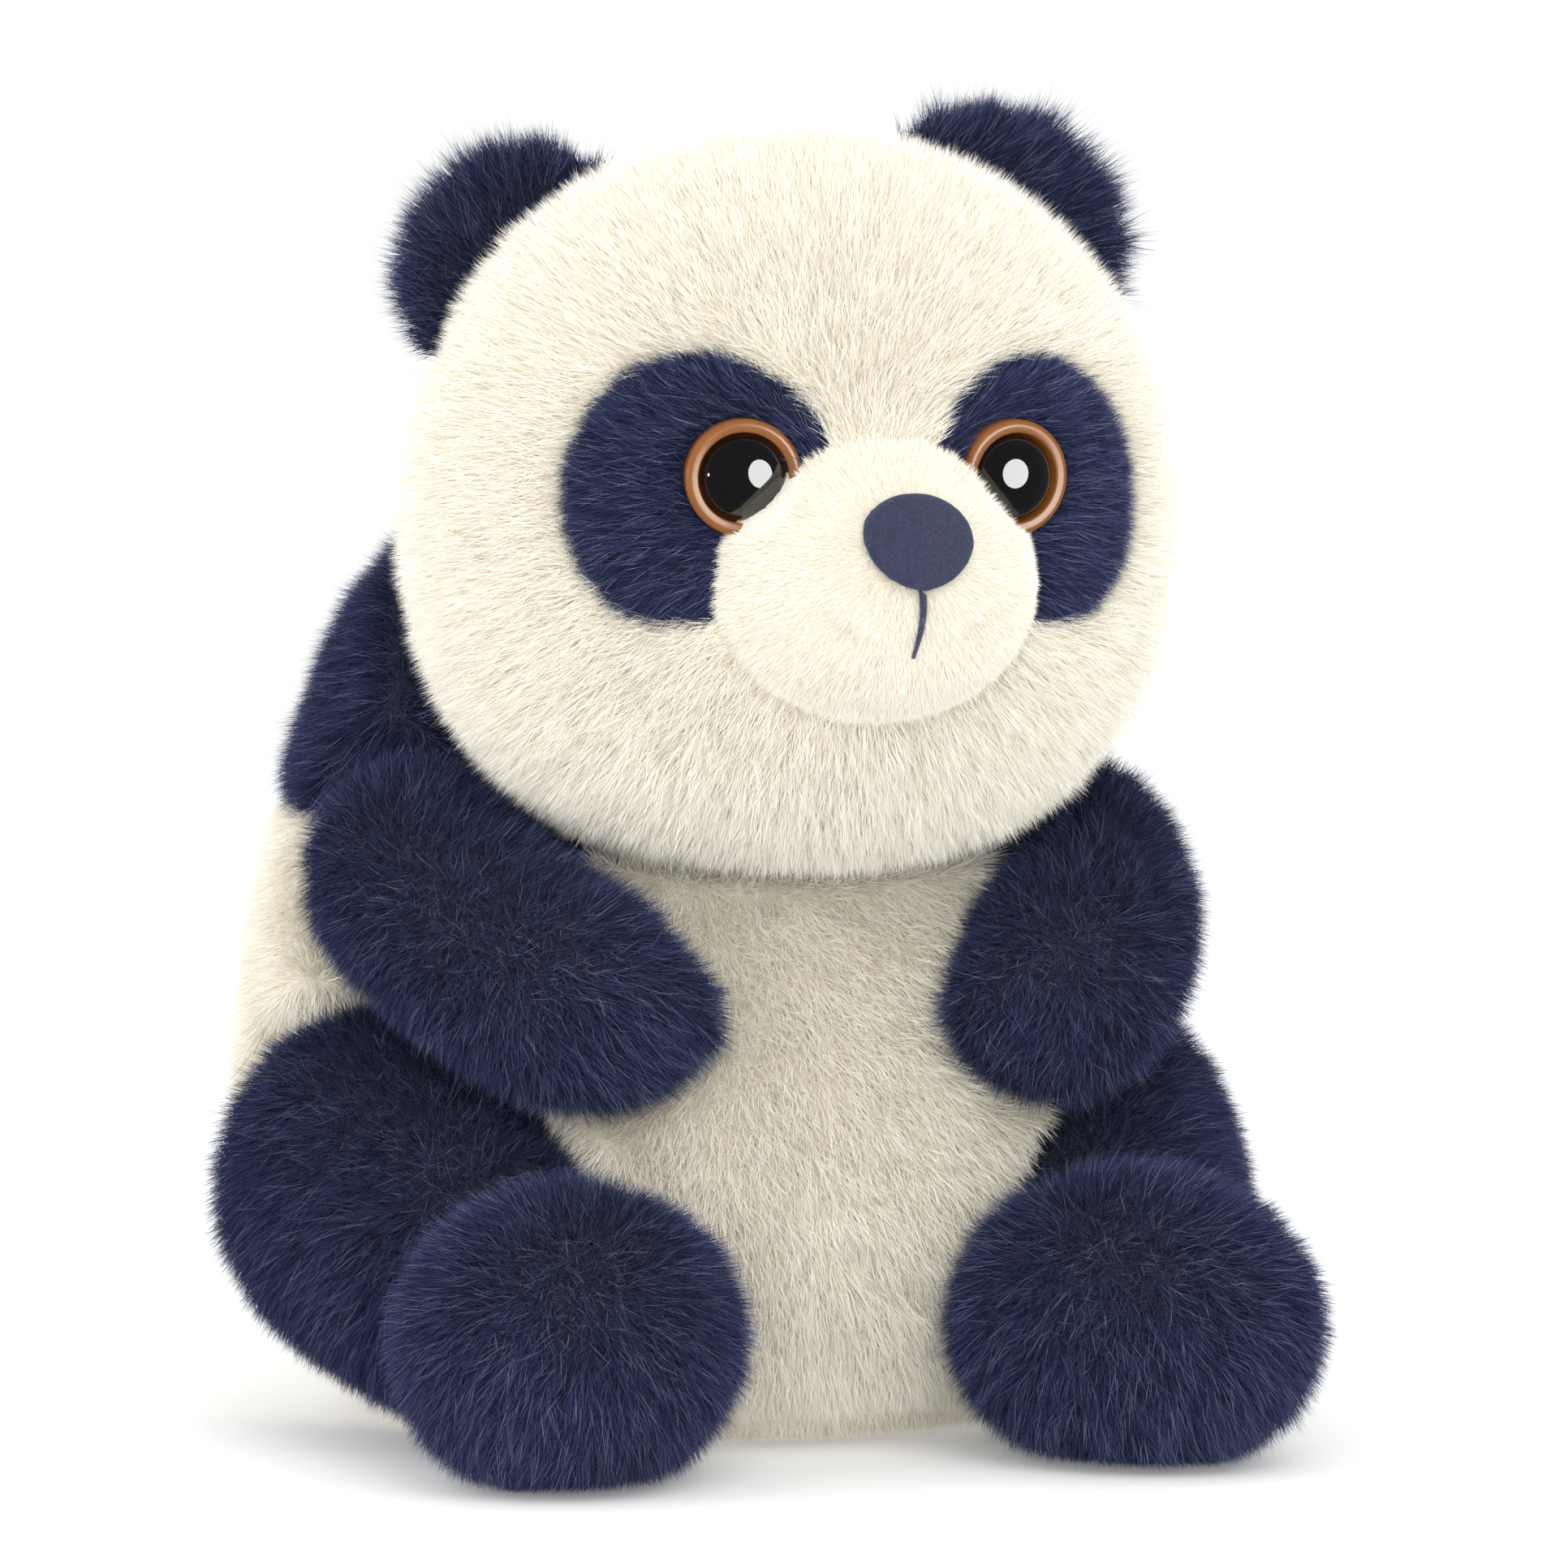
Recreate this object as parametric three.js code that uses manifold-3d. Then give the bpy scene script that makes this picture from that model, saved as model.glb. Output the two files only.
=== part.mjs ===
// A seated plush panda: sewn pile covers over separate fillings, with plastic eyes and a felt nose.
// Millimetres, +Z up. The panda faces -Y and its left side is +X. The floor it sits on is z = 0.
import * as THREE from 'three';
import { mergeVertices } from 'three/addons/utils/BufferGeometryUtils.js';
import Module from 'manifold-3d';

const wasm = await Module();
wasm.setup();

// ---- driving dimensions ------------------------------------------------------------------------
const wall = 3; // pile fabric, backing and packed pile together
const gap = 0.4; // between sewn neighbours
const ease = 0.9; // between a cover and its filling
const swing = 1.2; // between bodies that move on each other

const head = { centre: [0, -42, 172.5], half: [67, 56, 64], back: 88, seamY: -10 };
const neck = { at: [0, 12, 108], half: [34, 40, 26] }; // the opening under the head
const muzzle = { centre: [0, -91, 159], half: [28.5, 28, 23.5] };
const eye = { x: 24.6, z: 177, rimRadius: 10.3, domeRadius: 7.7, outward: 10, upward: -5 };
const patch = { x: 31, z: 174.5, halfWidth: 20.5, halfHeight: 23.5, lean: 26 };
const nose = { z: 165.3, halfWidth: 10, halfHeight: 8, thickness: 3 };
const mouth = { top: 156, bottom: 146, width: 1.5 };
const ear = { x: 42, y: -22, z: 214.5, halfWidth: 25.5, height: 26, layer: 4, cup: 6, lean: 44, lift: 4 };
const torso = { // its half widths and heights, how deep it is to its width, and how it leans
  profile: [[50, 0], [70, 10], [82, 34], [86, 66], [81, 98], [71, 128], [60, 152], [40, 168], [0, 175]],
  depth: 0.97, frontY: 12, leanBack: 28,
};
const yoke = { back: 119, front: 107, run: 110, frontY: -50 }; // its lower edge, sloping over the run
const belly = { halfWidth: 47 };
const seat = { height: 9 };
const shoulder = { at: [62, 0, 107], axis: [0, 0.5, -0.866], opened: 55 };
const arm = { top: [61, 17, 112], elbow: [58, -37, 94], paw: [40, -62, 82.5], tip: [20.5, -67, 81],
  radii: [17, 21, 20, 20.5, 18], opening: [9, 13, 13] };
const hip = { at: [62, -5, 45] };
const leg = { rear: [64, 28, 52], knee: [60, -40, 34], ankle: [55, -70, 27], radii: [32, 35, 28, 23],
  spread: 35, opening: [10, 20, 20] };
const foot = { centre: [52.5, -80, 25.3], half: [28, 34, 25.5], splay: 32 };
const tail = { at: [0, 96, 42], half: [15, 10, 13] };
const bag = { centre: [0, 24, 24], half: [25, 36, 19.5] }; // the pellets low in the seat
const headTurn = { axisY: 4, limit: 15 };
const setBack = 8; // moves the box's centre onto the origin

// ---- colours -----------------------------------------------------------------------------------
const plush = (colour) => new THREE.MeshStandardMaterial({ color: colour, roughness: 0.95, metalness: 0 });
const cream = plush('#efe8d8');
const navy = plush('#262d52');
const shortPile = plush('#f2ecdd');
const felt = plush('#333c66');
const fibre = plush('#f4f4f2');
const pellets = plush('#d9dce0');
const amber = new THREE.MeshStandardMaterial({ color: '#8a4a12', roughness: 0.25, metalness: 0 });
const black = new THREE.MeshStandardMaterial({ color: '#08080a', roughness: 0.06, metalness: 0 });
const nylon = new THREE.MeshStandardMaterial({ color: '#e6e4dc', roughness: 0.5, metalness: 0 });

// ---- solids ------------------------------------------------------------------------------------
const radians = THREE.MathUtils.degToRad;
const vector = (xyz) => new THREE.Vector3(...xyz);

/** A closed geometry as a manifold, its shared corners merged. */
function solid(geometry) {
  const bare = geometry.index ? geometry.clone() : geometry;
  bare.deleteAttribute('normal');
  bare.deleteAttribute('uv');
  const merged = mergeVertices(bare, 1e-4);
  const corners = new Uint32Array(merged.index.array);
  const build = () => new wasm.Manifold(new wasm.Mesh({
    numProp: 3,
    vertProperties: new Float32Array(merged.attributes.position.array),
    triVerts: corners,
  }));
  if (build().volume() < 0) corners.reverse();
  return build();
}

/** A manifold's triangles as a geometry. */
function surface(manifold) {
  const mesh = manifold.getMesh();
  const geometry = new THREE.BufferGeometry();
  geometry.setAttribute('position', new THREE.BufferAttribute(new Float32Array(mesh.vertProperties), 3));
  geometry.setIndex(new THREE.BufferAttribute(new Uint32Array(mesh.triVerts), 1));
  return geometry;
}

/** The largest body of a cut piece: thin offcuts are not part of the toy. */
function largest(manifold) {
  return manifold.decompose().sort((a, b) => b.volume() - a.volume())[0];
}

/** A ball with its poles on Z, each direction carried to a place by `shape`. */
function ball(shape, around = 24, down = 16) {
  const geometry = new THREE.SphereGeometry(1, around, down);
  geometry.rotateX(Math.PI / 2);
  const at = geometry.attributes.position;
  const direction = new THREE.Vector3();
  for (let i = 0; i < at.count; i += 1) {
    direction.fromBufferAttribute(at, i).normalize();
    const p = shape(direction);
    at.setXYZ(i, p.x, p.y, p.z);
  }
  return solid(geometry);
}

/** An ellipsoid, shrunk by `inset` on every side. */
function egg(centre, half, inset = 0, around = 24, down = 16) {
  return ball((d) => new THREE.Vector3(
    centre[0] + d.x * (half[0] - inset),
    centre[1] + d.y * (half[1] - inset),
    centre[2] + d.z * (half[2] - inset),
  ), around, down);
}

/** A padded tube: a ball stretched along a centre line, its radius following `radii`. */
function limb(points, radii, inset = 0, around = 18, down = 16) {
  const joints = points.map(vector);
  const ends = [[joints[0], joints[1]], [joints.at(-1), joints.at(-2)]];
  ends.forEach(([end, next]) => end.addScaledVector(next.clone().sub(end).normalize(), inset));
  const line = new THREE.CatmullRomCurve3(joints);
  const swell = new THREE.SplineCurve(radii.map((r, i) => new THREE.Vector2(i / (radii.length - 1), r)));
  return ball((d) => {
    const along = THREE.MathUtils.clamp(0.5 - d.z / 2, 0, 1);
    const tangent = line.getTangentAt(along);
    const side = new THREE.Vector3(0, 0, 1).cross(tangent).normalize();
    const up = tangent.clone().cross(side);
    const cap = Math.min(1, Math.sqrt(Math.max(0, 1 - d.z * d.z)) * 1.25);
    const radius = (swell.getPoint(along).y - inset) * cap;
    const turn = Math.atan2(d.y, d.x);
    return line.getPointAt(along)
      .addScaledVector(side, radius * Math.cos(turn))
      .addScaledVector(up, radius * Math.sin(turn));
  }, around, down);
}

/** A large block that keeps one side of a plane: `low` to `high` on each axis. */
function block(low, high) {
  const size = high.map((h, i) => h - low[i]);
  const geometry = new THREE.BoxGeometry(...size);
  geometry.translate(...high.map((h, i) => (h + low[i]) / 2));
  return solid(geometry);
}

/** A shape's outline drawn on a plane that faces -Y, pushed from `nearY` back by `depth`. */
function prism(shape, nearY, depth, segments = 6) {
  const geometry = new THREE.ExtrudeGeometry(shape, { depth, bevelEnabled: false, curveSegments: segments });
  geometry.rotateX(Math.PI / 2);
  geometry.translate(0, nearY + depth, 0);
  return solid(geometry);
}

/** A solid carried by a matrix; a mirroring one has its faces turned back out. */
function moved(manifold, matrix) {
  const geometry = surface(manifold).applyMatrix4(matrix);
  if (matrix.determinant() < 0) {
    const corners = geometry.index;
    for (let i = 0; i < corners.count; i += 3) {
      const first = corners.getX(i);
      corners.setX(i, corners.getX(i + 1));
      corners.setX(i + 1, first);
    }
  }
  return solid(geometry);
}

/** A solid turned about an axis through a point. */
function turned(manifold, point, axis, degrees) {
  return moved(manifold, new THREE.Matrix4().makeTranslation(...point)
    .multiply(new THREE.Matrix4().makeRotationAxis(vector(axis).normalize(), radians(degrees)))
    .multiply(new THREE.Matrix4().makeTranslation(...point.map((v) => -v))));
}

const mirrored = (manifold) => moved(manifold, new THREE.Matrix4().makeScale(-1, 1, 1));
const far = 400;

// ---- the assembled toy -------------------------------------------------------------------------
const toy = new THREE.Group();
toy.position.y = setBack;

function add(name, manifold, material) {
  const mesh = new THREE.Mesh(surface(largest(manifold)), material);
  mesh.geometry.computeVertexNormals();
  mesh.name = name;
  toy.add(mesh);
}

/** Adds a right piece and its mirrored left one. */
function addPair(name, right, material) {
  add(`${name}_right`, right, material);
  add(`${name}_left`, mirrored(right), material);
}

// ---- head --------------------------------------------------------------------------------------
/** The head: a wide ball, squarer in the cheeks, longer behind its centre than in front. */
function headSolid(inset, around = 24, down = 16) {
  const [cx, cy, cz] = head.centre;
  return ball((d) => {
    const power = d.z < 0 ? 2.45 : 2.1;
    const scale = (Math.hypot(d.x, d.y) ** power + Math.abs(d.z) ** power) ** (-1 / power);
    const depth = d.y < 0 ? head.half[1] : head.back;
    return new THREE.Vector3(
      cx + d.x * scale * (head.half[0] - inset),
      cy + d.y * scale * (depth - inset),
      cz + d.z * scale * (head.half[2] - inset),
    );
  }, around, down);
}

const muzzleSolid = (inset) => egg(muzzle.centre, muzzle.half, inset, 20, 12);
const coarse = [16, 10];

/** The leaning oval of the right eye patch, pointed at its lower inner end. */
function patchOutline(grow) {
  const outline = new THREE.Shape();
  const lean = radians(patch.lean);
  const steps = 20;
  for (let i = 0; i < steps; i += 1) {
    const turn = i / steps * 2 * Math.PI;
    const across = (patch.halfWidth + grow) * Math.cos(turn) * (1 + 0.12 * Math.sin(turn));
    const up = (patch.halfHeight + grow) * Math.sin(turn);
    const x = -patch.x + across * Math.cos(lean) + up * Math.sin(lean);
    const z = patch.z - across * Math.sin(lean) + up * Math.cos(lean);
    if (i === 0) outline.moveTo(x, z);
    else outline.lineTo(x, z);
  }
  return outline;
}

const patchPrism = (grow) => prism(patchOutline(grow), -far / 2, far / 2 + head.centre[1] + 10);

/** The nose: a rounded triangle, point down, pushed through the front of the muzzle. */
function nosePrism(grow) {
  const w = nose.halfWidth + grow;
  const h = nose.halfHeight + grow;
  const outline = new THREE.Shape();
  const z = nose.z;
  outline.moveTo(0, z - h);
  outline.bezierCurveTo(w * 0.75, z - h * 0.85, w, z - h * 0.2, w, z + h * 0.25);
  outline.bezierCurveTo(w, z + h * 0.85, w * 0.55, z + h, 0, z + h);
  outline.bezierCurveTo(-w * 0.55, z + h, -w, z + h * 0.85, -w, z + h * 0.25);
  outline.bezierCurveTo(-w, z - h * 0.2, -w * 0.75, z - h * 0.85, 0, z - h);
  return prism(outline, -far / 2, far / 2 + muzzle.centre[1]);
}

/** A turned piece whose profile is [radius, height] pairs, standing on the right eye's axis. */
function eyeTurning(profile, segments = 20) {
  const points = profile.map(([r, h]) => new THREE.Vector2(r, h));
  const geometry = new THREE.LatheGeometry(points, segments);
  const [cx, cy, cz] = head.centre;
  const side = (eye.x - cx) / head.half[0];
  const height = (eye.z - cz) / head.half[2];
  const y = cy - head.half[1] * Math.sqrt(1 - side ** 2 - height ** 2);
  const axis = new THREE.Vector3(-Math.sin(radians(eye.outward)), -Math.cos(radians(eye.outward)),
    Math.sin(radians(eye.upward))).normalize();
  const turn = new THREE.Quaternion().setFromUnitVectors(new THREE.Vector3(0, 1, 0), axis);
  geometry.applyQuaternion(turn);
  geometry.translate(-eye.x, y, eye.z);
  return solid(geometry);
}

// heights along the eye's axis: 0 is the face of the fabric
const cup = { back: -2.7, floor: -0.9, rimTop: 2.1, postRadius: 2, postEnd: -12, bevel: 1, mouth: 9 };
const cupWall = eye.domeRadius + 0.3;
const dome = { base: cup.floor + 0.3, edge: 0.9, height: 5.2 };
const washer = { near: -6.4, far: -8.4, radius: 7, room: 2.6, hole: cup.postRadius + gap };
const domeProfile = [[0, dome.base], [eye.domeRadius, dome.base]];
const domeSteps = 5;
for (let i = 1; i <= domeSteps; i += 1) {
  const turn = i / domeSteps * Math.PI / 2;
  const side = i === domeSteps ? 0 : eye.domeRadius * Math.cos(turn);
  domeProfile.push([side, dome.base + dome.edge + (dome.height - dome.edge) * Math.sin(turn)]);
}
const rim = eyeTurning([
  [0, cup.postEnd], [cup.postRadius, cup.postEnd], [cup.postRadius, cup.back],
  [eye.rimRadius - cup.bevel, cup.back], [eye.rimRadius, cup.back + cup.bevel],
  [eye.rimRadius, cup.rimTop - 1.6 * cup.bevel],
  [eye.rimRadius - 0.9 * cup.bevel, cup.rimTop - 0.3 * cup.bevel],
  [eye.rimRadius - 1.6 * cup.bevel, cup.rimTop], [cupWall, cup.rimTop - 0.5 * cup.bevel],
  [cupWall, cup.floor], [0, cup.floor],
]);
const lens = eyeTurning(domeProfile);
const lock = eyeTurning([
  [washer.hole, washer.far], [washer.radius, washer.far], [washer.radius, washer.near],
  [washer.hole, washer.near], [washer.hole, washer.far],
], 12);
const eyeSeat = eyeTurning([
  [0, cup.postEnd - 1], [cup.postRadius + gap, cup.postEnd - 1], [cup.postRadius + gap, cup.back - gap],
  [eye.rimRadius + gap, cup.back - gap], [eye.rimRadius + gap, cup.mouth], [0, cup.mouth],
], 16);
const lockSeat = eyeTurning([
  [0, cup.postEnd - 1], [washer.radius + gap, cup.postEnd - 1],
  [washer.radius + gap, washer.near + washer.room], [0, washer.near + washer.room],
], 12);

const bothSides = (right) => right.add(mirrored(right));
const faceSide = block([-far, -far, -far], [far, head.seamY - gap / 2, far]);
const headShell = headSolid(0).subtract(headSolid(wall, ...coarse));
const patchSeats = bothSides(patchPrism(gap));
const eyeSeats = bothSides(eyeSeat);
const neckHole = egg(neck.at, neck.half);

add('head_front_cover', headShell.intersect(faceSide).subtract(patchSeats).subtract(muzzleSolid(wall))
  .subtract(eyeSeats).subtract(neckHole), cream);
add('head_back_cover', headShell.subtract(block([-far, -far, -far], [far, head.seamY + gap / 2, far]))
  .subtract(neckHole), cream);
add('muzzle_cover', muzzleSolid(0).subtract(muzzleSolid(wall)).subtract(headSolid(-gap)).subtract(eyeSeats),
  shortPile);
add('head_stuffing', headSolid(wall + ease, ...coarse).add(muzzleSolid(wall + ease))
  .subtract(bothSides(lockSeat)).subtract(eyeSeats), fibre);
const rightHalf = block([-far, -far, -far], [-0.2, far, far]);
addPair('eye_patch', headShell.intersect(patchPrism(0)).subtract(muzzleSolid(-gap)).subtract(eyeSeat)
  .intersect(rightHalf), navy);
addPair('eye_rim', rim, amber);
addPair('eye_dome', lens, black);
addPair('eye_washer', lock, nylon);
add('nose', muzzleSolid(-nose.thickness).subtract(muzzleSolid(-gap)).intersect(nosePrism(0)), felt);
add('mouth_stitch', muzzleSolid(-gap - mouth.width).subtract(muzzleSolid(-gap))
  .intersect(block([-mouth.width / 2, -far, mouth.bottom], [mouth.width / 2, muzzle.centre[1], mouth.top])),
navy);

// ---- ears --------------------------------------------------------------------------------------
/** One layer of an ear: a cupped half disc standing on the head; `layer` is 0 in front, 1 behind. */
function earLayer(side, layer) {
  const offset = (layer - 0.5) * (ear.layer + gap);
  const flap = ball((d) => {
    const x = d.x * ear.halfWidth;
    const z = d.z > 0 ? d.z * ear.height : d.z * ear.height * 0.5;
    const bend = ear.cup * ((x / ear.halfWidth) ** 2 - 0.4) + 2.5 * Math.max(z, 0) / ear.height;
    return new THREE.Vector3(x, offset + d.y * ear.layer / 2 - bend, z);
  }, 16, 8);
  const place = new THREE.Matrix4().makeTranslation(side * ear.x, ear.y, ear.z + side * ear.lift)
    .multiply(new THREE.Matrix4().makeRotationY(side * radians(ear.lean)));
  return moved(flap, place).subtract(headSolid(-swing - 0.6));
}
const sides = [['right', -1], ['left', 1]];
for (const [name, side] of sides) {
  add(`ear_front_${name}`, earLayer(side, 0), navy);
  add(`ear_back_${name}`, earLayer(side, 1), navy);
}

// ---- arms --------------------------------------------------------------------------------------
const rightOf = (point) => [-point[0], point[1], point[2]];
const armSolid = (inset, around, down) => limb(
  [arm.top, shoulder.at, arm.elbow, arm.paw, arm.tip].map(rightOf), arm.radii, inset, around, down,
);
const shoulderAt = rightOf(shoulder.at);
const armOpening = egg([shoulderAt[0] + arm.radii[1], shoulderAt[1], shoulderAt[2]], arm.opening, 0, 12, 8);

addPair('arm_cover', armSolid(0, 16, 16).subtract(armSolid(wall, 12, 10)).subtract(armOpening), navy);
addPair('arm_stuffing', armSolid(wall + ease, 12, 10), fibre);

// ---- legs and feet -----------------------------------------------------------------------------
const footAt = rightOf(foot.centre);
const floor = block([-far, -far, -far], [far, far, 0]);
const footSolid = (inset, around = 16, down = 12) => turned(
  egg(footAt, foot.half, inset, around, down), footAt, [0, 0, 1], -foot.splay,
);
const legSolid = (inset, around = 18, down = 14) => limb(
  [leg.rear, hip.at, leg.knee, leg.ankle].map(rightOf), leg.radii, inset, around, down,
);
const hipAt = rightOf(hip.at);
const legOpening = egg([hipAt[0] + leg.radii[1], hipAt[1], hipAt[2]], leg.opening, 0, 12, 8);

addPair('leg_cover', legSolid(0).subtract(legSolid(wall, 12, 8)).subtract(legOpening)
  .subtract(footSolid(-gap)).subtract(floor), navy);
addPair('leg_stuffing', legSolid(wall + ease, 12, 8).subtract(footSolid(-gap, 12, 8)), fibre);
addPair('foot_cover', footSolid(0).subtract(footSolid(wall, 12, 8)).subtract(legSolid(wall, 12, 8))
  .subtract(floor), navy);
addPair('foot_pouch', footSolid(wall + ease, 12, 8), pellets);

// ---- body --------------------------------------------------------------------------------------
/** The body: a turned bag, flattened a little front to back and leaning back towards its top. */
function torsoSolid(inset, around = 24, steps = 13) {
  const height = torso.profile.at(-1)[1];
  const curve = new THREE.SplineCurve(torso.profile.map(([r, z]) => new THREE.Vector2(r, z)));
  const points = [new THREE.Vector2(0, inset)];
  for (let i = 0; i <= steps; i += 1) {
    const p = curve.getPoint(i / steps);
    const t = curve.getTangent(i / steps);
    const r = i === steps ? 0 : Math.max(p.x - inset * t.y, 1);
    points.push(new THREE.Vector2(r, THREE.MathUtils.clamp(p.y + inset * t.x, inset, height - inset)));
  }
  points[1].y = inset;
  points.at(-1).y = height - inset;
  const geometry = new THREE.LatheGeometry(points, around);
  geometry.rotateX(Math.PI / 2);
  const at = geometry.attributes.position;
  for (let i = 0; i < at.count; i += 1) {
    const lean = torso.leanBack * (Math.max(at.getZ(i), 0) / height) ** 1.5;
    at.setY(i, at.getY(i) * torso.depth + torso.frontY + lean);
  }
  return solid(geometry);
}

// the head sweeps the top of the body clear as it turns, the arms and legs their own sockets
const sweep = (part, point, axis, angles) => angles
  .map((angle) => turned(part, point, axis, angle))
  .reduce((all, next) => all.add(next));
const room = swing + 0.8; // the coarse facets of a swept shape stand a little inside its curve
const clear = 5; // the filling stands well back from everything that moves
const headAngles = [-headTurn.limit, 0, headTurn.limit];
const armAngles = [0, shoulder.opened / 3, shoulder.opened * 2 / 3, shoulder.opened];
const headSweep = (grow) => sweep(headSolid(-grow, 16, 10), [0, headTurn.axisY, 0], [0, 0, 1], headAngles);
const armSweep = sweep(armSolid(-room, 12, 10), shoulderAt, shoulder.axis, armAngles);
const legSweep = sweep(footSolid(-room, 12, 8).add(legSolid(-room, 12, 10)), hipAt, [0, 0, -1],
  [0, leg.spread / 2, leg.spread]);
const swept = headSweep(room).add(bothSides(armSweep)).add(bothSides(legSweep));

const torsoShell = torsoSolid(0).subtract(torsoSolid(wall, 16, 9)).subtract(swept);
/** Everything under the yoke's lower edge, a plane that drops towards the front. */
function underYoke(drop) {
  const low = new THREE.BoxGeometry(far, far, far);
  low.translate(0, 0, -far / 2);
  low.rotateX(Math.atan((yoke.back - yoke.front) / yoke.run));
  low.translate(0, yoke.frontY, yoke.front - drop);
  return solid(low);
}
const aboveSeat = block([-far, -far, seat.height + gap / 2], [far, far, far]);
const bellyFront = (grow) => block(
  [-belly.halfWidth - grow, -far, -far], [belly.halfWidth + grow, torso.frontY + grow, far],
);
const lowerShell = torsoShell.intersect(underYoke(gap)).intersect(aboveSeat);

const upperShell = torsoShell.subtract(underYoke(0));
const chest = block([-belly.halfWidth, -far, -far], [belly.halfWidth, 0, far]);
add('shoulder_yoke', upperShell, navy);
add('chest_band', upperShell.intersect(chest), navy);
add('belly_panel', lowerShell.intersect(bellyFront(0)), cream);
add('back_panel', lowerShell.subtract(bellyFront(gap)), cream);
add('seat_panel', torsoShell.subtract(block([-far, -far, seat.height - gap / 2], [far, far, far])), cream);
add('pellet_bag', egg(bag.centre, bag.half, 0, 14, 8), pellets);
const limbRoom = armSolid(-clear, 10, 8).add(armSweep).add(legSolid(-clear, 10, 8))
  .add(footSolid(-2 * clear, 10, 6));
add('body_stuffing', torsoSolid(wall + ease, 16, 9).subtract(headSweep(clear)).subtract(bothSides(limbRoom))
  .subtract(egg(bag.centre, bag.half, -ease, 14, 8)), fibre);
add('tail', egg(tail.at, tail.half, 0, 14, 10).subtract(torsoSolid(-gap)), cream);

export default toy;
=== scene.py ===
"""A seated plush panda: stuffed covers, dense pile, glossy eyes and a felt nose, in a plain studio."""

import math

import bmesh
import bpy
import numpy as np
from bpy.props import FloatProperty, FloatVectorProperty, IntProperty, PointerProperty
from mathutils import Matrix, Vector
from mathutils.bvhtree import BVHTree
from mathutils.kdtree import KDTree


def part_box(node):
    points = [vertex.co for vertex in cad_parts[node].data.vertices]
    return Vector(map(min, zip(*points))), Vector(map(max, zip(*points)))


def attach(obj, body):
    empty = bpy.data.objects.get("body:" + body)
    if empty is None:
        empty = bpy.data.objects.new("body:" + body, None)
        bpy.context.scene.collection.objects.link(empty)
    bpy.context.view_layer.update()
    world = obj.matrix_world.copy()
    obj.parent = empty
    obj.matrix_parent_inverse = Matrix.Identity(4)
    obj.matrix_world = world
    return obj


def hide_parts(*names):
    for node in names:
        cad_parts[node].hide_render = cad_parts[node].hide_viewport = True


bl_info = {
    "name": "Plush panda",
    "version": (1, 0, 0),
    "blender": (4, 5, 0),
    "location": "3D View > Sidebar > Panda",
    "description": "Builds the covers, the pile, the face and the studio of a seated plush panda",
    "category": "Object",
}

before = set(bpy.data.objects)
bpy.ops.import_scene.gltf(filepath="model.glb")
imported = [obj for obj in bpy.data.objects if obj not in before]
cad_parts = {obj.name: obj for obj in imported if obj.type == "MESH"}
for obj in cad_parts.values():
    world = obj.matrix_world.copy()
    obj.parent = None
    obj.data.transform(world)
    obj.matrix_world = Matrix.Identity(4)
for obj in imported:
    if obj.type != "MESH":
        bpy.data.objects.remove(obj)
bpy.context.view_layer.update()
MM = 0.001
SIDES = ("right", "left")
OUTSIDE = 0.4  # a ray starts this far out, clear of the whole toy
EVEN = 5  # divisions of the ball that is drawn in round a limb or a bag
FINE = 6  # and round the head or the body


# ---- sizes and colours ---------------------------------------------------------------------------
def length(name, description, default):
    return FloatProperty(name=name, description=description, default=default, unit="LENGTH", precision=5)


def colour(name, description, default):
    return FloatVectorProperty(
        name=name, description=description, default=default, size=3, subtype="COLOR", min=0, max=1
    )


class PandaCovers(bpy.types.PropertyGroup):
    """How the sewn covers fill out between their seams"""
    swell: length("Swell", "Furthest that the filling pushes a cover out between its seams", 0.0022)
    pressure: FloatProperty(
        name="Pressure", description="Pressure of the filling while the covers settle", default=4.0
    )
    frames: IntProperty(name="Frames", description="Frames of cloth simulation for each cover", default=18)
    above_floor: length("Above floor", "Thickness of the pressed pile under the toy", 0.0009)
    seam_hold: length("Seam hold", "How far from a seam the cover is held back", 0.004)
    seam_depth: length("Seam depth", "How far a seam is drawn in", 0.0012)
    seam_reach: length("Seam reach", "How far from a seam its groove runs out", 0.0028)


class PandaPile(bpy.types.PropertyGroup):
    """The pile that is woven into the covers"""
    cream_length: length("Cream pile", "Length of the cream fibres", 0.0062)
    muzzle_length: length("Muzzle pile", "Length of the sheared fibres on the muzzle", 0.0022)
    navy_length: length("Navy pile", "Length of the navy fibres", 0.0072)
    ear_length: length("Ear pile", "Length of the fibres at the ears", 0.0082)
    patch_length: length("Patch pile", "Length of the fibres round the eyes", 0.0054)
    width: length("Fibre width", "Width of one fibre at its root", 0.00020)
    per_area: FloatProperty(
        name="Fibres per mm2", description="Fibres in each square millimetre", default=7.6
    )
    # The cream root colour is darker: painted shade deep in the pile. The cream tip colour is lighter: painted
    # light on the pile's top. The middle colour is the pile's own.
    cream_root_painted_shade: colour("Cream root painted shade", "Colour of the short fibres deep in the cream pile", (0.92, 0.85, 0.71))
    cream: colour("Cream", "Colour of the cream pile", (0.96, 0.92, 0.81))
    cream_tip_painted_light: colour("Cream tip painted light", "Colour of the longest fibres in the cream pile", (0.985, 0.96, 0.885))
    # The navy root colour is darker: painted shade deep in the pile. The navy tip colour is lighter: painted light
    # on the pile's top. The middle colour is the pile's own.
    navy_root_painted_shade: colour("Navy root painted shade", "Colour of the short fibres deep in the navy pile", (0.008, 0.011, 0.036))
    navy: colour("Navy", "Colour of the navy pile", (0.022, 0.029, 0.088))
    navy_tip_painted_light: colour("Navy tip painted light", "Colour of the longest fibres in the navy pile", (0.048, 0.060, 0.155))
    fleck: colour("Fleck", "Colour of the few bright fibres in the navy pile", (0.16, 0.18, 0.30))


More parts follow.
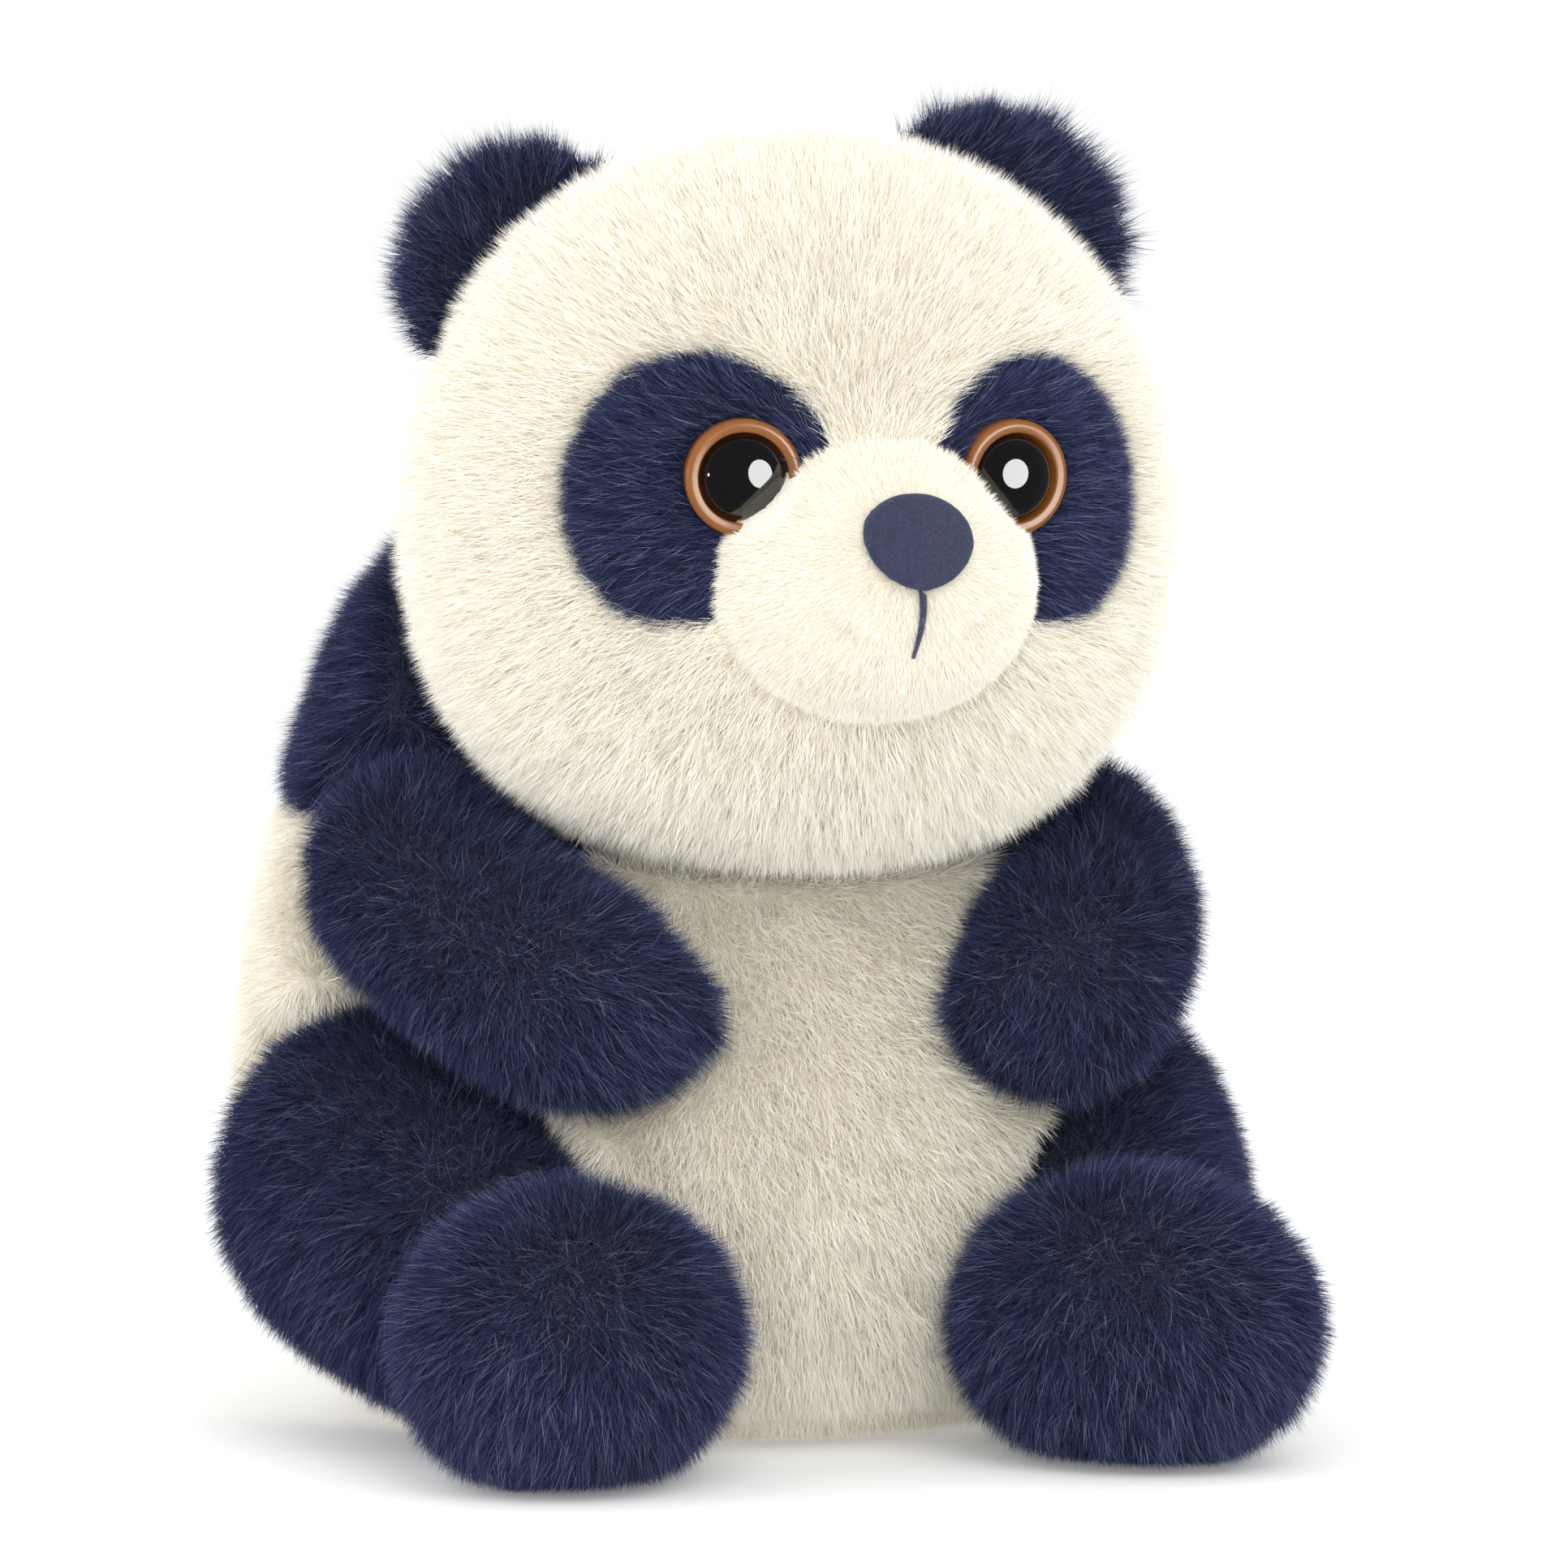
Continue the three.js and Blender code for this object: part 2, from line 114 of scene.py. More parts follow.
class PandaFace(bpy.types.PropertyGroup):
    """The eyes, the nose and the mouth"""
    amber: colour("Amber", "Colour of the rings round the eyes", (0.27, 0.095, 0.018))
    black: colour("Black", "Colour of the glossy domes", (0.002, 0.002, 0.003))
    felt: colour("Felt", "Colour of the felt nose", (0.014, 0.018, 0.052))
    thread: colour("Thread", "Colour of the mouth's thread", (0.012, 0.012, 0.060))
    thread_width: length("Thread width", "Width of one strand of the mouth's thread", 0.0006)


class PandaStage(bpy.types.PropertyGroup):
    """The camera, the lights and the floor"""
    azimuth: FloatProperty(
        name="Azimuth", description="Turn of the camera round the toy, in degrees", default=-16.5
    )
    elevation: FloatProperty(name="Elevation", description="Height of the camera, in degrees", default=2.5)
    distance: length("Distance", "From the camera to the toy", 1.35)
    view_width: length("View width", "Width of the view at the toy", 0.292)
    floor: colour("Floor", "Colour of the floor", (0.92, 0.92, 0.92))


# ---- node graphs ---------------------------------------------------------------------------------
class Wire:
    """A node's output that can stand in an expression: each operation adds its Math node."""

    def __init__(self, tree, socket):
        self.tree = tree
        self.socket = socket

    def math(self, operation, *values):
        made = add(self.tree, "ShaderNodeMath", {"operation": operation}, dict(enumerate(values)))
        return made[0]

    def __add__(self, other):
        return self.math("ADD", self, other)

    def __sub__(self, other):
        return self.math("SUBTRACT", self, other)

    def __rsub__(self, other):
        return self.math("SUBTRACT", other, self)

    def __mul__(self, other):
        return self.math("MULTIPLY", self, other)

    def __rtruediv__(self, other):
        return self.math("DIVIDE", other, self)

    def __pow__(self, other):
        return self.math("POWER", self, other)

    def __gt__(self, other):
        return self.math("GREATER_THAN", self, other)

    __radd__ = __add__
    __rmul__ = __mul__


class Made:
    """A node that was added; its outputs are read as wires, by name or number."""

    def __init__(self, tree, node):
        self.tree = tree
        self.node = node

    def __getitem__(self, key):
        return Wire(self.tree, self.node.outputs[key])


def add(tree, kind, settings=None, values=None):
    """Adds a node: its settings first, then the values or wires of its inputs."""
    node = tree.nodes.new(kind)
    for name, value in (settings or {}).items():
        setattr(node, name, value)
    for key, value in (values or {}).items():
        if isinstance(value, Wire):
            tree.links.new(value.socket, node.inputs[key])
        elif value is not None:
            node.inputs[key].default_value = value
    return Made(tree, node)


def vectors(tree, operation, *values):
    """A Vector Math node on up to three wires or vectors."""
    key = {"SCALE": (0, "Scale")}.get(operation, range(len(values)))
    return add(tree, "ShaderNodeVectorMath", {"operation": operation}, dict(zip(key, values)))


def mixed(tree, share, first, second):
    """A colour between two, by a share from 0 to 1."""
    return add(tree, "ShaderNodeMix", {"data_type": "RGBA"}, {0: share, 6: first, 7: second})[2]


def rgba(shade):
    return (*shade, 1.0)


def surfaced(name, **plain):
    """A new material and its shader node, with the values that hold all over the surface."""
    made = bpy.data.materials.new(name)
    made.use_nodes = True
    tree = made.node_tree
    shader = tree.nodes["Principled BSDF"]
    for key, value in plain.items():
        shader.inputs[key.replace("_", " ")].default_value = value
    return made, tree, shader


def placed(tree):
    """Object coordinates."""
    return add(tree, "ShaderNodeTexCoord")["Object"]


def noise(tree, scale, detail=2.0, distortion=0.0):
    """A cloudy pattern from 0 to 1."""
    values = {"Vector": placed(tree), "Scale": scale, "Detail": detail, "Distortion": distortion}
    return add(tree, "ShaderNodeTexNoise", {}, values)[0]


def mottled(tree, shader, share, dark, light):
    """The base colour runs between two shades, by a pattern."""
    tree.links.new(mixed(tree, share, rgba(dark), rgba(light)).socket, shader.inputs["Base Color"])


def scaled(shade, factor, lift=0.0):
    """A lighter or darker shade of a colour."""
    return [min(1, c * factor + lift) for c in shade]


def bumped(tree, shader, height, distance):
    bump = add(tree, "ShaderNodeBump", {}, {"Height": height, "Distance": distance, "Strength": 1.0})
    tree.links.new(bump["Normal"].socket, shader.inputs["Normal"])


def cloth_backing(name, dark, light, sheen):
    """The woven ground that the pile stands on: a mottled colour and a short nap."""
    made, tree, shader = surfaced(
        name, Roughness=0.95, Sheen_Weight=0.3, Sheen_Roughness=0.6, Sheen_Tint=rgba(sheen)
    )
    cloud, nap = noise(tree, 260.0, 3.0), noise(tree, 2600.0)
    mottled(tree, shader, cloud * 0.6 + nap * 0.4, dark, light)
    bumped(tree, shader, nap, 0.0006)
    return made


def fibre_finish(name, shade, sheen, roughness=0.75):
    """One plain shade of fibre; the fibres' own shapes give the texture."""
    return surfaced(
        name, Base_Color=rgba(shade), Roughness=roughness, Specular_IOR_Level=0.12, Sheen_Weight=0.18,
        Sheen_Roughness=0.45, Sheen_Tint=rgba(sheen),
    )[0]


def finish(name):
    """A finished material, made once and kept by its name."""
    known = bpy.data.materials.get(name)
    if known:
        return known
    pile = bpy.context.scene.panda_pile
    face = bpy.context.scene.panda_face
    white, blue = (1.0, 0.99, 0.96), (0.62, 0.70, 1.0)
    return {
        # The backings mottle at random between the pile's root colour, which is painted shade, and the pile's own
        # colour. The root fibres are darker, painted shade deep in the pile; the tip fibres are lighter, painted
        # light on its top.
        "cream backing": lambda: cloth_backing(name, pile.cream_root_painted_shade, pile.cream, white),
        "navy backing": lambda: cloth_backing(name, pile.navy_root_painted_shade, pile.navy, blue),
        "cream root painted shade": lambda: fibre_finish(name, pile.cream_root_painted_shade, white),
        "cream": lambda: fibre_finish(name, pile.cream, white),
        "cream tip painted light": lambda: fibre_finish(name, pile.cream_tip_painted_light, white),
        "navy root painted shade": lambda: fibre_finish(name, pile.navy_root_painted_shade, blue),
        "navy": lambda: fibre_finish(name, pile.navy, blue),
        "navy tip painted light": lambda: fibre_finish(name, pile.navy_tip_painted_light, blue),
        "navy fleck": lambda: fibre_finish(name, pile.fleck, white, 0.5),
        "felt": lambda: felt_finish(name, face.felt),
        "amber plastic": lambda: amber_finish(name, face.amber),
        "black gloss": lambda: black_finish(name, face.black),
        "mouth thread": lambda: thread_finish(name, face.thread),
        "washer nylon": lambda: nylon_finish(name),
        "bag weave": lambda: weave_finish(name),
    }[name]()


def felt_finish(name, shade):
    """Pressed felt: crossed short fibres in two shades, with a matt nap."""
    made, tree, shader = surfaced(
        name, Roughness=0.92, Sheen_Weight=0.2, Sheen_Roughness=0.4, Sheen_Tint=rgba((0.6, 0.68, 1.0))
    )
    grain = noise(tree, 1500.0, 4.0, 1.5)
    strand = add(tree, "ShaderNodeTexVoronoi", {"feature": "DISTANCE_TO_EDGE"},
                 {"Vector": placed(tree), "Scale": 1500.0})[0]
    mottled(tree, shader, grain * 1.3 - 0.15, scaled(shade, 0.55), scaled(shade, 1.9, 0.01))
    bumped(tree, shader, grain + strand * 0.6, 0.0005)
    return made


def amber_finish(name, shade):
    """Moulded amber plastic, a little cloudy inside."""
    made, tree, shader = surfaced(name, Roughness=0.32, Coat_Weight=0.15, Coat_Roughness=0.1)
    mottled(tree, shader, noise(tree, 300.0, 3.0), scaled(shade, 0.7), shade)
    return made


def black_finish(name, shade):
    """Polished black plastic with a few faint handling marks."""
    made, tree, shader = surfaced(name, Base_Color=rgba(shade), Coat_Weight=1.0, Coat_Roughness=0.01)
    rough = (noise(tree, 500.0, 5.0) ** 3.0) * 0.12 + 0.02
    tree.links.new(rough.socket, shader.inputs["Roughness"])
    return made


def thread_finish(name, shade):
    """Twisted embroidery thread."""
    made, tree, shader = surfaced(name, Roughness=0.55, Sheen_Weight=0.4)
    ply = noise(tree, 3500.0)
    mottled(tree, shader, ply, scaled(shade, 0.5), scaled(shade, 1.7))
    bumped(tree, shader, ply, 0.0002)
    return made


def nylon_finish(name):
    """Natural nylon with the faint clouding of a small moulding."""
    made, tree, shader = surfaced(name, Roughness=0.5)
    mottled(tree, shader, noise(tree, 400.0), (0.70, 0.68, 0.62), (0.82, 0.81, 0.76))
    return made


def weave_finish(name):
    """The plain weave of an inner bag."""
    made, tree, shader = surfaced(name, Roughness=0.9)
    across, along = (
        add(tree, "ShaderNodeTexWave", {"bands_direction": way}, {"Vector": placed(tree), "Scale": 300.0})[0]
        for way in ("X", "Z")
    )
    weave = across * along
    mottled(tree, shader, weave, (0.62, 0.63, 0.64), (0.80, 0.81, 0.82))
    bumped(tree, shader, weave, 0.0003)
    return made


# ---- mesh helpers --------------------------------------------------------------------------------
def placed_object(name, mesh, *materials):
    """A new object at the origin, in the scene."""
    made = bpy.data.objects.new(name, mesh)
    bpy.context.scene.collection.objects.link(made)
    for finished in materials:
        mesh.materials.append(finished)
    return made


def meshed(name, points, faces):
    mesh = bpy.data.meshes.new(name)
    mesh.from_pydata([tuple(p) for p in points], [], [tuple(int(i) for i in f) for f in faces])
    mesh.validate()
    mesh.update()
    mesh.shade_smooth()
    return mesh


def coordinates(mesh):
    places = np.empty(len(mesh.vertices) * 3, np.float32)
    mesh.vertices.foreach_get("co", places)
    return places.reshape(-1, 3).astype(float)


def set_coordinates(mesh, places):
    mesh.vertices.foreach_set("co", np.asarray(places, np.float32).ravel())
    mesh.update()


def normals(mesh):
    values = np.empty(len(mesh.vertices) * 3, np.float32)
    mesh.vertex_normals.foreach_get("vector", values)
    return values.reshape(-1, 3).astype(float)


def links(mesh):
    ends = np.empty(len(mesh.edges) * 2, np.int32)
    mesh.edges.foreach_get("vertices", ends)
    return ends.reshape(-1, 2)


def relaxed(mesh, rounds, strength=0.5, free=None):
    """Moves each vertex towards the mean of its neighbours; `free` is how far each may follow."""
    places, ends = coordinates(mesh), links(mesh)
    share = np.full(len(places), 1.0) if free is None else free
    here, there = np.concatenate((ends[:, 0], ends[:, 1])), np.concatenate((ends[:, 1], ends[:, 0]))
    count = np.bincount(here, minlength=len(places))[:, None]
    for _ in range(rounds):
        total = np.stack([np.bincount(here, places[there, axis], len(places)) for axis in range(3)], axis=1)
        places += (total / count - places) * (strength * share)[:, None]
    set_coordinates(mesh, places)


def settled(mesh, rounds):
    """Smooths without shrinking: each inward step is followed by a slightly larger outward one."""
    for _ in range(rounds):
        relaxed(mesh, 1, 0.6)
        relaxed(mesh, 1, -0.62)


def gathered(nodes):
    """The vertices, the faces and each face's node, for several CAD nodes together."""
    points, faces, owners = [], [], []
    for node in nodes:
        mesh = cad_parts[node].data
        base = len(points)
        points += [v.co.copy() for v in mesh.vertices]
        faces += [[base + i for i in face.vertices] for face in mesh.polygons]
        owners += [node] * len(mesh.polygons)
    return points, faces, owners


def wrapped(name, nodes, centre, level):
    """A closed, even skin: a ball's vertices drawn in from outside onto the nodes' outer surface."""
    points, faces, owners = gathered(nodes)
    tree = BVHTree.FromPolygons(points, faces)
    shell = bmesh.new()
    bmesh.ops.create_icosphere(shell, subdivisions=level, radius=1.0)
    hits = []
    for vert in shell.verts:
        outward = vert.co.normalized()
        place, _, face, _ = tree.ray_cast(centre + outward * OUTSIDE, -outward)
        vert.co = place if place else centre
        hits.append(owners[face] if place else "")
    mesh = bpy.data.meshes.new(name)
    shell.to_mesh(mesh)
    shell.free()
    mesh.shade_smooth()
    return mesh, hits


def remeshed(name, nodes, voxel, rounds):
    """A closed, even skin round thin nodes: a voxel remesh of their copies, smoothed."""
    points, faces, _ = gathered(nodes)
    carrier = placed_object(name + " carrier", meshed(name, points, faces))
    tool = carrier.modifiers.new("Remesh", "REMESH")
    tool.mode, tool.voxel_size, tool.use_smooth_shade = "VOXEL", voxel, True
    mesh = plain_mesh(carrier)
    mesh.name = name
    mesh.shade_smooth()
    settled(mesh, rounds)
    return mesh


def plain_mesh(carrier):
    """The object's mesh with its modifiers applied; the carrier itself goes."""
    graph = bpy.context.evaluated_depsgraph_get()
    mesh = bpy.data.meshes.new_from_object(carrier.evaluated_get(graph), depsgraph=graph)
    bpy.data.objects.remove(carrier)
    return mesh


def subdivided(mesh, levels=1):
    carrier = placed_object("carrier", mesh)
    tool = carrier.modifiers.new("Subdivision", "SUBSURF")
    tool.levels = tool.render_levels = levels
    return plain_mesh(carrier)


def faced(mesh):
    """Centres of the mesh's faces."""
    values = np.empty(len(mesh.polygons) * 3, np.float32)
    mesh.polygons.foreach_get("center", values)
    return values.reshape(-1, 3).astype(float)


def nearest_nodes(mesh, nodes):
    """For each face, the CAD node whose surface is nearest."""
    points, faces, owners = gathered(nodes)
    tree = BVHTree.FromPolygons(points, faces)
    return np.array([nodes.index(owners[tree.find_nearest(Vector(c))[2]]) for c in faced(mesh)])


def seam_distance(mesh, labels):
    """How far each vertex is from the nearest border between two panels."""
    seen = {}
    for face, label in zip(mesh.polygons, labels):
        for i in face.vertices:
            seen.setdefault(i, set()).add(int(label))
    border = [i for i, kinds in seen.items() if len(kinds) > 1]
    places = coordinates(mesh)
    if not border:
        return np.full(len(places), 1.0)
    tree = KDTree(len(border))
    for k, i in enumerate(border):
        tree.insert(Vector(places[i]), k)
    tree.balance()
    return np.array([tree.find(Vector(p))[2] for p in places])


def stuffed(mesh, pinned):
    """Lets the filling swell a closed cover between its seams: a short, capped cloth run."""
    covers = bpy.context.scene.panda_covers
    rest = coordinates(mesh)
    carrier = placed_object("carrier", mesh)
    group = carrier.vertex_groups.new(name="seam")
    for i in np.nonzero(pinned)[0]:
        group.add([int(i)], 1.0, "REPLACE")
    cloth = carrier.modifiers.new("Cloth", "CLOTH")
    settings = cloth.settings
    settings.quality = 4
    settings.use_pressure = True
    settings.uniform_pressure_force = covers.pressure
    settings.effector_weights.gravity = 0.0
    settings.vertex_group_mass = group.name
    settings.tension_stiffness = settings.compression_stiffness = 12.0
    settings.bending_stiffness = 0.6
    cloth.collision_settings.use_collision = False
    cloth.point_cache.frame_end = covers.frames
    scene = bpy.context.scene
    for step in range(1, covers.frames + 1):
        scene.frame_set(step)
    graph = bpy.context.evaluated_depsgraph_get()
    moved = coordinates(carrier.evaluated_get(graph).data)
    scene.frame_set(1)
    bpy.data.objects.remove(carrier)
    step = moved - rest
    far = np.linalg.norm(step, axis=1)
    step *= np.minimum(1.0, covers.swell / np.maximum(far, 1e-9))[:, None]
    set_coordinates(mesh, rest + step)


# ---- covers --------------------------------------------------------------------------------------
skins = {}  # each closed skin's mesh, by its name


def middle(node):
    """The centre of a node's box."""
    low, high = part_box(node)
    return (low + high) / 2


def ridden(piece, body, node_slot, *nodes):
    """Joins a finished piece to its CAD body, and hides the CAD nodes it stands for."""
    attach(piece, body)
    if nodes:
        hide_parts(*nodes)
    return piece


def panelled(skin, mesh, panels, backing, slots, body, extra=None, shape=None):
    """Cuts a closed skin into its sewn panels: each becomes one padded piece over its CAD node."""
    covers = bpy.context.scene.panda_covers
    nodes = list(panels)
    labels = nearest_nodes(mesh, nodes)
    away = seam_distance(mesh, labels)
    stuffed(mesh, away < covers.seam_hold)
    mesh = subdivided(mesh)
    if shape:
        shape(mesh)
    labels = nearest_nodes(mesh, nodes)
    away = seam_distance(mesh, labels)
    groove = covers.seam_depth * np.exp(-((away / covers.seam_reach) ** 2))
    set_coordinates(mesh, coordinates(mesh) - normals(mesh) * groove[:, None])
    floored(mesh, covers.above_floor)
    skins[skin] = mesh
    places = coordinates(mesh)
    corners = np.array([list(face.vertices) for face in mesh.polygons])
    for k, node in enumerate(nodes):
        own = corners[labels == k]
        used, index = np.unique(own, return_inverse=True)
        piece = placed_object(
            panels[node], meshed(panels[node], places[used], index.reshape(own.shape)), finish(backing[k])
        )
        stands = [node] + list((extra or {}).get(node, ()))
        ridden(piece, body, slots[k], *stands)
        seam = piece.data.attributes.new("seam", "FLOAT", "POINT")
        seam.data.foreach_set("value", away[used].astype(np.float32))


def limb(part, filling, side, body, inset, holds_filling=True):
    """Wraps one stuffed limb in its cover, which lies in by part of the pile's depth."""
    skin, node = f"{part}_{side}", f"{part}_cover_{side}"
    mesh, _ = wrapped(skin, [node, filling], middle(node), EVEN)
    settled(mesh, 6)
    set_coordinates(mesh, coordinates(mesh) - normals(mesh) * inset)
    stands = {node: [filling]} if holds_filling else None
    panelled(skin, mesh, {node: f"{part}_plush_{side}"}, ["navy backing"], ["navy_pile"], body, stands)


class PANDA_OT_head(bpy.types.Operator):
    """Builds the face, the muzzle, the eye patches and the back of the head as one skin, cut along seams"""
    bl_idname = "panda.head"
    bl_label = "Head covers"

    def execute(self, context):
        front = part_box("head_front_cover")
        inward = 0.03
        centre = Vector((0, front[1].y - inward, (front[0].z + front[1].z) / 2))
        covers = {
            "head_front_cover": "face_plush", "head_back_cover": "head_back_plush",
            "muzzle_cover": "muzzle_plush",
            "eye_patch_right": "eye_patch_plush_right", "eye_patch_left": "eye_patch_plush_left",
        }
        mesh, hits = wrapped("head", [*covers, "head_stuffing"], centre, FINE)
        loose = np.array([0.0 if hit in covers else 1.0 for hit in hits])
        relaxed(mesh, 300, 0.9, loose)
        settled(mesh, 6)
        # the muzzle runs into the cheeks and the chin, and stands clear only beside the eyes
        fade, bridge_half, border_reach, least = 0.010, 0.011, 0.008, 0.12
        away = seam_distance(mesh, nearest_nodes(mesh, list(covers)) == list(covers).index("muzzle_cover"))
        places = coordinates(mesh)
        lower = np.clip((middle("muzzle_cover").z + 0.004 - places[:, 2]) / fade, 0.0, 1.0)
        bridge = np.exp(-((places[:, 0] / bridge_half) ** 2)) * (1.0 - lower)
        share = least + (1.0 - least) * np.maximum(lower, bridge)
        relaxed(mesh, 60, 0.8, np.exp(-((away / border_reach) ** 2)) * share)
        cream, navy = "cream backing", "navy backing"
        panelled(
            "head", mesh, covers, [cream, cream, cream, navy, navy],
            ["cream_pile", "cream_pile", "short_pile", "navy_pile", "navy_pile"],
            "head", {"head_front_cover": ["head_stuffing"]}, self.smiling,
        )
        return {"FINISHED"}

    def smiling(self, mesh):
        """Sinks the shallow curved fold at each side of the mouth."""
        depth, half_width, centred, spread = 0.0013, 0.0026, 0.40, 0.20
        low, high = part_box("muzzle_cover")
        places, out = coordinates(mesh), normals(mesh)
        across = np.abs(places[:, 0]) / ((high.x - low.x) / 2)
        fold = low.z + (high.z - low.z) * (0.25 + 0.42 * across ** 2)
        near = np.exp(-(((places[:, 2] - fold) / half_width) ** 2))
        span = np.exp(-(((across - centred) / spread) ** 2))
        front = places[:, 1] < high.y - 0.008
        places -= out * (depth * near * span * front)[:, None]
        set_coordinates(mesh, places)


class PANDA_OT_ears(bpy.types.Operator):
    """Builds each ear as one cupped skin with a front and a back layer"""
    bl_idname = "panda.ears"
    bl_label = "Ear covers"

    def execute(self, context):
        for side in SIDES:
            nodes = [f"ear_front_{side}", f"ear_back_{side}"]
            mesh = remeshed(f"ear_{side}", nodes, 0.0014, 6)
            panels = {nodes[0]: f"ear_front_plush_{side}", nodes[1]: f"ear_back_plush_{side}"}
            panelled(
                f"ear_{side}", mesh, panels, ["navy backing"] * 2, ["navy_pile"] * 2, f"ear_{side}",
            )
        return {"FINISHED"}


class PANDA_OT_arms(bpy.types.Operator):
    """Builds both stuffed arms"""
    bl_idname = "panda.arms"
    bl_label = "Arm covers"

    def execute(self, context):
        for side in SIDES:
            limb("arm", f"arm_stuffing_{side}", side, f"arm_{side}", 0.0030)
        return {"FINISHED"}


class PANDA_OT_legs(bpy.types.Operator):
    """Builds both stuffed legs and their feet"""
    bl_idname = "panda.legs"
    bl_label = "Leg and foot covers"

    def execute(self, context):
        for side in SIDES:
            limb("leg", f"leg_stuffing_{side}", side, f"leg_{side}", 0.0025)
            limb("foot", f"foot_pouch_{side}", side, f"leg_{side}", 0.0012, holds_filling=False)
        return {"FINISHED"}


def floored(mesh, height):
    """Keeps a skin above the floor, flat where it rests."""
    places = coordinates(mesh)
    places[:, 2] = np.maximum(places[:, 2], height)
    set_coordinates(mesh, places)


class PANDA_OT_body(bpy.types.Operator):
    """Builds the yoke, the chest band, the belly, the back and the seat as one skin cut along its seams"""
    bl_idname = "panda.body"
    bl_label = "Body covers"

    def execute(self, context):
        panels = {
            "shoulder_yoke": "shoulder_yoke_plush", "chest_band": "chest_band_plush",
            "belly_panel": "belly_plush",
            "back_panel": "back_plush", "seat_panel": "seat_plush",
        }
        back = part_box("back_panel")
        centre = Vector((0, back[0].y * 0.55 + back[1].y * 0.45 + 0.012, (back[0].z + back[1].z) / 2))
        mesh, _ = wrapped("torso", [*panels, "body_stuffing", "pellet_bag"], centre, FINE)
        settled(mesh, 8)
        navy, cream = "navy backing", "cream backing"
        panelled(
            "torso", mesh, panels, [navy, navy, cream, cream, cream],
            ["navy_pile", "navy_pile", "cream_pile", "cream_pile", "cream_pile"],
            "torso", {"back_panel": ["body_stuffing"]},
        )
        return {"FINISHED"}


class PANDA_OT_tail(bpy.types.Operator):
    """Builds the short tail"""
    bl_idname = "panda.tail"
    bl_label = "Tail cover"

    def execute(self, context):
        mesh = remeshed("tail", ["tail"], 0.0016, 8)
        panelled("tail", mesh, {"tail": "tail_plush"}, ["cream backing"], ["cream_pile"], "torso")
        return {"FINISHED"}


class PANDA_OT_bags(bpy.types.Operator):
    """Builds the woven bags of pellets that weigh down the seat and the feet"""
    bl_idname = "panda.bags"
    bl_label = "Pellet bags"

    def execute(self, context):
        bags = {"pellet_bag": "torso", "foot_pouch_right": "leg_right", "foot_pouch_left": "leg_left"}
        for node, body in bags.items():
            mesh, _ = wrapped(node, [node], middle(node), EVEN)
            settled(mesh, 6)
            places, out = coordinates(mesh), normals(mesh)
            rumple, deep = np.ones(len(places)), 0.0006
            for axis, (waves, start) in enumerate(((420, 0), (350, 1), (390, 2))):
                rumple = rumple * np.sin(places[:, axis] * waves + start)
            set_coordinates(mesh, places - out * (deep + deep * rumple)[:, None])
            piece = placed_object(node + "_weave", mesh, finish("bag weave"))
            ridden(piece, body, "pellet_filling", node)
        return {"FINISHED"}


# ---- pile ----------------------------------------------------------------------------------------
def fibre_blade():
    """One tapering fibre, a unit tall; `up` is how far up each vertex is."""
    known = bpy.data.objects.get("fibre_blade")
    if known:
        return known
    mesh = meshed("fibre_blade", [(-0.5, 0, 0), (0.5, 0, 0), (0, 0, 1)], [(0, 1, 2)])
    up = mesh.attributes.new("up", "FLOAT", "POINT")
    up.data.foreach_set("value", [0.0, 0.0, 1.0])
    blade = placed_object("fibre_blade", mesh)
    blade.hide_render = True
    blade.hide_viewport = True
    return blade


def named(tree, name, kind="FLOAT"):
    return add(tree, "GeometryNodeInputNamedAttribute", {"data_type": kind}, {"Name": name})["Attribute"]


def random_value(tree, low, high, seed, kind="FLOAT"):
    """A random number or vector for each point, between two limits."""
    made = add(tree, "FunctionNodeRandomValue", {"data_type": kind}, {"Seed": seed})
    for socket, value in zip([s for s in made.node.inputs if s.enabled], (low, high)):
        socket.default_value = value
    return Wire(tree, next(s for s in made.node.outputs if s.enabled))


